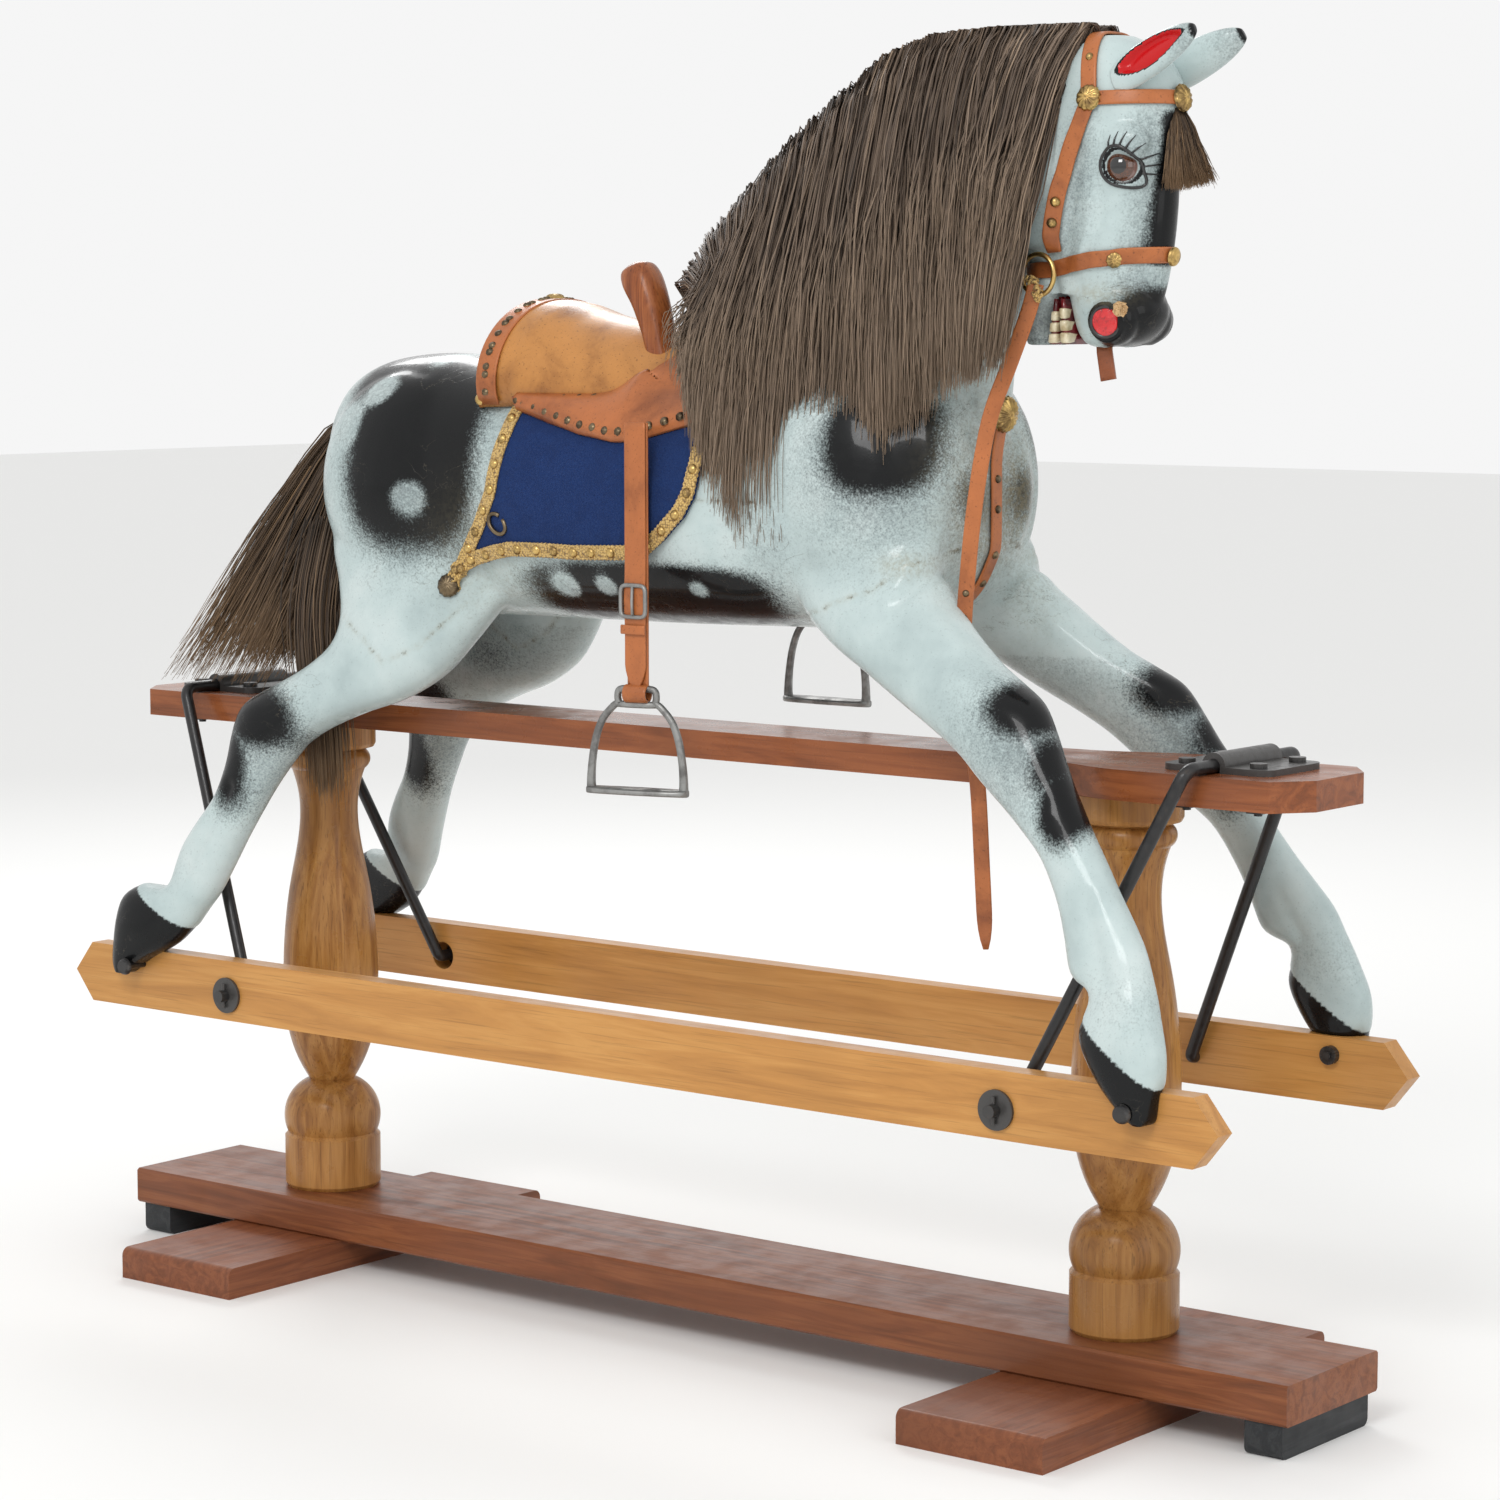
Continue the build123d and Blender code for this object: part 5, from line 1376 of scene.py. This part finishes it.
def make_braid(tree):
    strips, nails, dark = [], [], []
    for side in (-1, 1):
        path, outs = [], []
        for x, a in hem_line():
            place, out = at_angle(tree, x, a, side, 0.3)
            path.append(place)
            outs.append(out)
        path = np.array(path)
        run = np.concatenate([[0], np.cumsum(np.linalg.norm(np.diff(path, axis=0), axis=1))])
        at = np.linspace(0, run[-1], int(run[-1] / 2.6))
        fine = np.stack([np.interp(at, run, path[:, k]) for k in range(3)], axis=-1)
        outs = np.stack([np.interp(at, run, np.array(outs)[:, k]) for k in range(3)], axis=-1)
        strips.append(ribbon_mesh(fine, outs, 15.0 + 1.6 * np.sin(at * 1.2), 2.6, 8))
        for k, d in enumerate(np.arange(14, run[-1], 25.0)):
            i = int(np.searchsorted(at, d))
            if i < len(fine):
                nails.append(dome(fine[i] + outs[i] * 2.4, outs[i], 5.2, 3.6, 20, 4, 9 if k % 2 else 0))
        place, out = at_angle(tree, -232, 130, side, 3)
        dark.append(dome(place, out, 12, 7, 40, 6, 12))
        place, out = at_angle(tree, -155, angle_of(125, 820), side, 1.2)
        angles = np.linspace(0.25, 2 * math.pi - 0.25, 22)
        shoe = [place + np.array((-math.cos(a) * -8.5, 0, math.sin(a) * 12.5)) @ np.array(
            [[math.cos(0.9), 0, math.sin(0.9)], [0, 1, 0],
             [-math.sin(0.9), 0, math.cos(0.9)]]) for a in angles]
        dark.append(wire(np.array(shoe), 2.2, 8))
    new_object("cloth_edge_braid", *merge(strips), "gold_braid", replaces=("cloth_braid",))
    new_object("cloth_nails", *merge(nails), "brass")
    new_object("cloth_badges", *merge(dark), "dark_brass")


SEAT_TOP = [(-206, 1030), (-196, 1041), (-184, 1046), (-165, 1044), (-148, 1041), (-115, 1031), (-79, 1024),
            (-40, 1018), (0, 1008),
            (40, 994), (66, 984)]
SEAM = [(-206, 948), (-175, 953), (-155, 959), (-120, 966), (-80, 974), (-40, 981), (0, 987), (30, 991),
        (66, 994)]


def line_at(rows, x):
    rows = np.array(rows, float)
    return float(np.interp(x, rows[:, 0], rows[:, 1]))


def make_saddle(tree):
    """Stuffed seat, skirts, cantle binding, nails and the wooden side peg."""
    rings = []
    xs = np.concatenate([np.linspace(-206, -190, 6), np.linspace(-184, 62, 42)])
    for x in xs:
        top = line_at(SEAT_TOP, x)
        seam = angle_of(116, line_at(SEAM, x))
        tuck = 6 * step(x, -190, -207) if x < -190 else 0
        outer, inner = [], []
        for v in np.linspace(-1, 1, 45):
            a = abs(v) * seam
            place, _ = at_angle(tree, x, a, 1 if v > 0 else -1, 0)
            r_body = math.hypot(place[1], place[2] - AXIS_Z)
            weight = (1 - abs(v) ** 2.6) ** 0.75 if abs(v) < 1 else 0
            r = r_body + 9 + (top - AXIS_Z - r_body - 9) * weight - tuck
            direction = np.array((0, math.sin(math.radians(a)) * (1 if v > 0 else -1),
                                  math.cos(math.radians(a))))
            outer.append(np.array((x, 0, AXIS_Z)) + direction * r)
            inner.append(np.array((x, 0, AXIS_Z)) + direction * (r_body + 1.5))
        rings.append(np.array(outer + inner[::-1]))
    seat = new_object("seat_cushion", *tube(rings), "seat_leather", replaces=("saddle_seat",))
    modify(seat, "SUBSURF", levels=1, render_levels=1)
    # skirts: flat hide on the cloth below the seam, rising over the withers in front of the seat
    upper = [(-152, 958), (-120, 966), (-80, 974), (-40, 982), (0, 990), (40, 1010), (78, 1030),
             (100, 1035)]
    lower = [(-152, 952), (-129, 943), (-104, 932), (-80, 924), (-58, 916), (-36, 912), (-12, 907),
             (16, 908), (42, 918), (75, 932), (100, 942)]
    parts = []
    for side in (-1, 1):
        rows = []
        for x in np.linspace(-152, 100, 84):
            a0 = angle_of(113, line_at(upper, x)) if x < 0 else angle_of(113 * (1 - min(1, x / 60)), 990)
            a1 = angle_of(124, line_at(lower, x))
            a0 = min(a0 - 3, a1 - 1)
            outer, inner = [], []
            for t in np.linspace(0, 1, 22):
                a = a0 + (a1 - a0) * t
                plump = 9 + 7 * math.sin(math.pi * min(1, t)) ** 0.8
                plump += 26 * math.exp(-((x - 6) / 34) ** 2) * (1 - t) ** 2
                place, out = at_angle(tree, x, a, side, 0)
                outer.append(place + out * (plump if 0 < t < 1 else 4.6))
                inner.append(place + out * 1.0)
            rows.append(np.array(outer + inner[::-1]))
        parts.append(tube(rows))
    new_object("skirt_hide", *merge(parts), "tan_leather", replaces=("saddle_skirts",))
    # cantle binding over the back edge of the seat
    arch = [ring[:45] for ring in rings]
    band_path = arch[5].copy()
    outs = []
    for k in range(45):
        mid = band_path[k] - np.array((band_path[k][0], 0, AXIS_Z))
        outs.append(mid / np.linalg.norm(mid))
    binding = ribbon_mesh(band_path + np.array((4.5, 0, 0)), np.array(outs), 26, 2.4, 8)
    new_object("cantle_binding", *binding, "tan_leather")
    nails, studs = [], []
    for k, fraction in enumerate(np.linspace(0.02, 0.98, 27)):
        i = int(round(fraction * 44))
        nails.append(dome(band_path[i] + np.array(outs[i]) * 1.6 + np.array((4, 0, 0)), outs[i], 4.6, 3.4,
                          18, 4,
                          9 if k % 3 == 0 else 0))
    studs.append(dome(band_path[22] + np.array((2, 0, 1.0)), outs[22], 11, 6, 36, 6, 11))
    seam_paths = []
    for side in (-1, 1):
        line = []
        for x in np.linspace(-158, 58, 60):
            a = angle_of(116, line_at(SEAM, x))
            place, out = at_angle(tree, x, a, side, 11.5)
            line.append(place)
        seam_paths.append(wire(np.array(line), 1.5, 6))
        for k, x in enumerate(np.arange(-149, 60, 18.5)):
            a = angle_of(116, line_at(SEAM, x)) + 2.0
            place, out = at_angle(tree, x, a, side, 11.5)
            nails.append(dome(place, out, 4.8, 3.6, 18, 4, 9 if k % 2 else 0))
        for k, x in enumerate(np.arange(-140, 100, 17.5)):
            a = angle_of(124, line_at(lower, x)) - 3.0
            place, out = at_angle(tree, x, a, side, 10.5)
            nails.append(dome(place, out, 4.8, 3.6, 18, 4, 9 if k % 4 == 0 else 0))
        place, out = at_angle(tree, -199, angle_of(116, 960), side, 10)
        studs.append(dome(place, out, 9, 5, 30, 6))
    new_object("saddle_seam_cord", *merge(seam_paths), "brown_leather")
    new_object("saddle_dome_nails", *merge(nails), "dark_brass", replaces=("saddle_nails",))
    new_object("saddle_studs", *merge(studs), "brass")
    # wooden peg at the near side of the pommel
    spine = [(2, -46, 966), (-6, -45, 990), (-14, -43, 1016), (-24, -42, 1042), (-35, -41, 1062),
             (-42, -40, 1074), (-44, -40, 1079)]
    wide = [(13, 15), (14, 16), (15, 17.5), (17, 19), (19.5, 19), (17, 16), (9, 9)]
    rows = np.hstack([np.array(spine, float), np.array(wide, float)])
    peg_rings = []
    for x, y, z, a, b in smooth_curve(rows, 6):
        axis = np.array((-0.38, 0.04, 0.92))
        u = np.array((0.92, 0, 0.38))
        v = np.cross(axis / np.linalg.norm(axis), u)
        peg_rings.append(oval_ring((x, y, z), u, v, a, b, 2.6, 32))
    new_object("saddle_side_peg", *tube(peg_rings), "peg_wood", replaces=("saddle_peg",),
               slot="turned_beech")
    return seat


# ---------------------------------------------------------------- bridle, breast strap, rein
def around_head(tree, z_back, z_front, start, stop, centre):
    """Level loop on the head between two headings in degrees: nought at the nose, negative on its right."""
    path, outs = [], []
    for a in np.radians(np.linspace(start, stop, 150)):
        direction = np.array((math.cos(a), math.sin(a), 0))
        z = z_back + (z_front - z_back) * (0.5 + 0.5 * math.cos(a))
        place, out = on_skin(tree, np.array((centre, 0, z)) + direction * 200, -direction, 1.4)
        path.append(place)
        outs.append(out)
    path, outs = np.array(path), np.array(outs)
    ease(path, 5)
    ease(outs, 5)
    return path, outs


def make_bridle(tree):
    brass, knobs = [], []
    noseband = ribbon_mesh(*around_head(tree, 1068, 1084, -180, 180, 482), 15, 2.4)
    new_object("noseband_strap", *noseband, "tan_leather", replaces=("bridle_noseband",))
    browband = ribbon_mesh(*around_head(tree, 1224, 1226, -98, 98, 500), 13, 2.2)
    new_object("browband_strap", *browband, "tan_leather", replaces=("bridle_browband",))
    cheeks, crowns = [], []
    for side in (-1, 1):
        line = [(504, side * 60, 1226), (494, side * 60, 1196), (482, side * 62, 1160),
                (471, side * 60, 1120),
                (462, side * 55, 1084)]
        path, outs = strap_on(tree, line, 1.6)
        cheeks.append(ribbon_mesh(path, outs, 16, 2.6))
        for z in (1133, 1114):
            i = int(np.argmin(abs(path[:, 2] - z)))
            brass.append(dome(path[i] + outs[i] * 2.6, outs[i], 5, 4.5, 20, 5))
        crown = [(504, side * 56, 1226), (500, side * 46, 1252), (496, side * 34, 1274),
                 (492, side * 17, 1287),
                 (491, side * 2, 1291)]
        path, outs = strap_on(tree, crown, 1.8)
        crowns.append((path, outs))
        place, out = on_skin(tree, (504, side * 120, 1225), (0, -side, 0), 4)
        brass.append(dome(place, out, 12, 6, 44, 7, 12, 0.8))
        place, out = on_skin(tree, (499, side * 120, 1262), (0, -side, 0), 3.5)
        brass.append(dome(place, out, 4, 3, 18, 4))
        place, out = on_skin(tree, (522, side * 120, 1080), (0, -side, 0), 3)
        brass.append(dome(place, out, 7.5, 3.5, 36, 6, 10, 0.5))
        ring = [(449 + 19 * math.cos(a), side * 50 + side * 2 * math.cos(a), 1066 + 19 * math.sin(a))
                for a in np.linspace(0, 2 * math.pi, 40, endpoint=False)]
        knobs.append(wire(np.array(ring), 2.4, 10, True))
    over = np.vstack([crowns[0][0], crowns[1][0][::-1]])
    facing = np.vstack([crowns[0][1], crowns[1][1][::-1]])
    ease(over, 4)
    ease(facing, 4)
    new_object("crown_strap", *ribbon_mesh(over, facing, 16, 2.6), "tan_leather",
               replaces=("bridle_crown",))
    new_object("cheek_straps", *merge(cheeks), "tan_leather", replaces=("bridle_cheeks",))
    place, out = on_skin(tree, (700, 0, 1225), (-1, 0, 0), 4)
    brass.append(dome(place, out, 12.5, 6, 44, 7, 12, 0.8))
    place, out = on_skin(tree, (700, 0, 1083), (-1, 0, 0), 3)
    brass.append(dome(place + out * 3, out, 9, 4, 28, 5))
    new_object("bridle_brasses", *merge(brass), "brass", replaces=("bridle_rosettes",))
    new_object("bit_ring_pair", *merge(knobs), "brass", replaces=("bit_rings",))
    tab = ribbon_mesh(np.array([(496, -8, 1008), (498, -10, 995), (502, -12, 980), (504, -12, 969)]),
                      np.array([(0.2, -1, 0)] * 4), 15, 5)
    new_object("bit_tab", *tab, "brown_leather")
    cord = []
    for k in range(3):
        turns = np.linspace(0, 5 * math.pi, 40)
        line = np.stack([443 + 9 * turns / 15 + 4 * np.cos(turns + k * 2.1),
                         -52 - 3 * np.sin(turns * 1.3 + k),
                         1062 - 16 * turns / 15 + 4 * np.sin(turns + k * 2.1)], axis=-1)
        cord.append(wire(line, 1.6, 7))
    new_object("bit_cord_scrap", *merge(cord), "gold_braid")


def make_breast_strap(tree):
    arms, brass, dark = [], [], []
    for side in (-1, 1):
        line = [(370, side * 2, 938), (360, side * 20, 960), (345, side * 42, 984), (318, side * 68, 1008),
                (280, side * 88, 1030), (230, side * 98, 1040)]
        path, outs = strap_on(tree, line, 1.5)
        arms.append(ribbon_mesh(path, outs, 16, 2.6))
        for fraction in (0.17, 0.27, 0.4):
            i = int(fraction * (len(path) - 1))
            dark.append(dome(path[i] + outs[i] * 2.4, outs[i], 3.6, 3, 16, 4))
    new_object("breast_arms", *merge(arms), "tan_leather", replaces=("breast_strap_arms",))
    line = [(374, 0, 940), (378, 0, 885), (376, 0, 830), (366, 0, 780), (348, 0, 746), (322, 0, 728)]
    path, outs = strap_on(tree, line, 1.5)
    new_object("breast_girth", *ribbon_mesh(path, outs, 16, 2.6), "tan_leather",
               replaces=("breast_strap_girth",))
    for fraction in (0.3, 0.42, 0.62, 0.75):
        i = int(fraction * (len(path) - 1))
        dark.append(dome(path[i] + outs[i] * 2.4, outs[i], 4.2, 3.4, 16, 4))
    brass.append(dome(path[1] + outs[1] * 4, outs[1], 17, 8, 60, 9, 18, 1.2))
    new_object("breast_sunburst", *merge(brass), "brass", replaces=("breast_rosette",))
    new_object("breast_studs", *merge(dark), "dark_brass")


def make_rein():
    line = [(447, -50, 1058), (440, -53, 1030), (424, -58, 985), (408, -64, 940), (401, -69, 900),
            (395, -73, 850),
            (391, -76, 800), (388, -79, 740), (390, -81, 690), (398, -82, 640), (407, -82, 590),
            (412, -81, 510),
            (416, -80, 436)]
    path = smooth_curve(line, 8)
    turn = np.linspace(0, 1, len(path))
    outs = np.stack([0.55 - 0.2 * turn, -0.83 + 0 * turn, 0.06 + 0 * turn], axis=-1)
    width = np.full(len(path), 15.0)
    width[-4:] = (14.5, 13, 10, 5)
    strap = ribbon_mesh(path, outs, width, 2.2)
    new_object("rein_strap", *strap, "tan_leather", replaces=("rein",))
    studs = []
    for z in (770, 745, 715):
        i = int(np.argmin(abs(path[:, 2] - z)))
        out = outs[i] / np.linalg.norm(outs[i])
        studs.append(dome(path[i] + out * 2.2, out, 3.4, 2, 14, 3))
    new_object("rein_studs", *merge(studs), "dark_brass")


LEATHER_Y = 141.5     # the plane that each stirrup leather hangs in


def make_stirrups():
    """Doubled leathers with buckle, keeper and pointed tail, and arched irons with a flat tread."""
    places = (("right", -1, 40, 655, 14), ("left", 1, 58, 724, 0))
    for word, side, x, slot_z, yaw in places:
        y = side * LEATHER_Y
        out = np.array((0, side, 0))
        parts = []
        zs = np.linspace(925, slot_z + 12, 40)
        parts.append(ribbon_mesh(np.array([(x, y - side * 3.2, z) for z in zs]), np.array([out] * 40), 26,
                                 2.8))
        tail = np.linspace(925, slot_z + 9, 44)
        widths = np.full(44, 26.0)
        widths[-4:] = (24, 20, 14, 7)
        bow = [(x, y + side * 0.6 + side * 1.6 * math.exp(-((z - slot_z - 96) / 16) ** 2), z) for z in tail]
        parts.append(ribbon_mesh(np.array(bow), np.array([out] * 44), widths, 2.8))
        keeper = np.array([(x - 15, y + side * 4.4, slot_z + 68), (x, y + side * 5.0, slot_z + 68),
                           (x + 15, y + side * 4.4, slot_z + 68)])
        parts.append(ribbon_mesh(smooth_curve(keeper, 4), np.array([out] * 9), 9, 2.4))
        c, s = math.cos(math.radians(yaw)), math.sin(math.radians(yaw))
        loop = []
        for a in np.linspace(0, 2 * math.pi, 28, endpoint=False):
            ring = np.array((-s * 6.6 * math.cos(a), c * 6.6 * math.cos(a), 6.6 * math.sin(a)))
            loop.append(np.array((x, y, slot_z + 5)) + ring)
        parts.append(ribbon_mesh(np.array(loop + [loop[0]]),
                                 np.array([q - (x, y, slot_z + 5) for q in loop + [loop[0]]]), 25, 2.4))
        new_object("leather_" + word, *merge(parts), "tan_leather", "leather_" + word,
                   ("stirrup_leather_" + word,))
        frame_line = []
        zc = slot_z + 96
        for a in np.linspace(0, 2 * math.pi, 48, endpoint=False):
            cx, cz = math.cos(a), math.sin(a)
            px = math.copysign(abs(cx) ** 0.35, cx) * 15.5
            pz = math.copysign(abs(cz) ** 0.35, cz) * 15.5
            frame_line.append((x + px, y + side * 5.6, zc + pz))
        metalwork = [wire(np.array(frame_line), 2.2, 8, True),
                     wire(np.array([(x, y + side * 6.6, zc + 15), (x, y + side * 7.4, zc),
                                    (x, y + side * 6.6, zc - 14)]), 1.6, 8)]
        new_object("buckle_" + word, *merge(metalwork), "steel", "leather_" + word,
                   ("stirrup_buckle_" + word,))
        base = slot_z + 5 - 101.0
        turned = np.array((c, s, 0))
        flat = [(-50, 4), (-50.5, 14), (-49, 34), (-45, 56), (-38, 74), (-27, 87), (-20, 92)]
        arch = []
        for sign in (1, -1):
            side_line = smooth_curve([(px * sign, 0, pz) for px, pz in flat], 6)
            arch.append(wire(side_line,
                             np.interp(np.arange(len(side_line)), [0, 12, len(side_line)], [5.0, 4.0, 3.4]),
                             12))
        eye = [(-20, 92), (-21, 97), (-20, 103), (-15, 105.5), (0, 106), (15, 105.5), (20, 103), (21, 97),
               (20, 92)]
        arch.append(wire(smooth_curve([(px, 0, pz) for px, pz in eye], 5), 3.6, 12))
        arch.append(wire(np.array([(-22, 0, 90.5), (-10, 0, 90), (10, 0, 90), (22, 0, 90.5)]), 3.4, 12))
        tread = [oval_ring((px, 0, 4.5), (0, 1, 0), (0, 0, 1), w, 3.6, 3.0, 20)
                 for px, w in ((-54, 5), (-50, 9), (-42, 12), (-20, 14), (0, 15), (20, 14), (42, 12),
                               (50, 9), (54, 5))]
        arch.append(tube(tread))
        points, faces = merge(arch)
        points = np.outer(points[:, 0], turned) + np.outer(points[:, 1],
                                                           (-s, c, 0)) + np.outer(points[:, 2], (0, 0, 1))
        new_object("iron_" + word, points + np.array((x, y, base)), faces, "steel", "stirrup_" + word,
                   ("stirrup_iron_" + word,))


CAD_FINISH = {"base_plank": ("dark_pine", 0.0018), "cross_foot_front": ("foot_pine", 0.003),
              "cross_foot_rear": ("foot_pine", 0.003), "end_block_front": ("black_paint", 0.0015),
              "end_block_rear": ("black_paint", 0.0015), "post_front": ("turned_beech", 0),
              "post_rear": ("turned_beech", 0), "top_rail": ("rail_mahogany", 0.002),
              "bracket_front": ("black_iron", 0.0006), "bracket_rear": ("black_iron", 0.0006),
              "bracket_bolts": ("black_iron", 0.0005), "swing_iron_front": ("black_iron", 0),
              "swing_iron_rear": ("black_iron", 0), "iron_washers_front": ("black_iron", 0),
              "iron_washers_rear": ("black_iron", 0), "hoof_rail_right": ("rail_beech", 0.0015),
              "hoof_rail_left": ("rail_beech", 0.0015), "hoof_bolts": ("black_iron", 0.0005)}


def dress_cad():
    """CAD pieces that keep their shape take a finish and eased edges."""
    for node, (material, ease) in CAD_FINISH.items():
        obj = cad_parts[node]
        obj.data.materials.clear()
        obj.data.materials.append(MATERIALS[material])
        if ease:
            modify(obj, "BEVEL", width=ease, segments=2, limit_method="ANGLE", angle_limit=math.radians(40))


make_camera()
make_studio()
make_materials()
dress_cad()
body = make_body()
head = make_head()
make_teeth()
make_ears()
body_tree = skin([body])
head_tree = skin([head])
make_eyes(head_tree)
make_nostrils(head_tree)
cloth, cloth_flat, cloth_area = make_cloth(body_tree)
cloth_tree = skin([body, cloth])
make_braid(cloth_tree)
seat = make_saddle(cloth_tree)
make_bridle(head_tree)
make_breast_strap(skin([body, head]))
make_rein()
make_stirrups()
make_mane()
make_tail()
make_forelock()
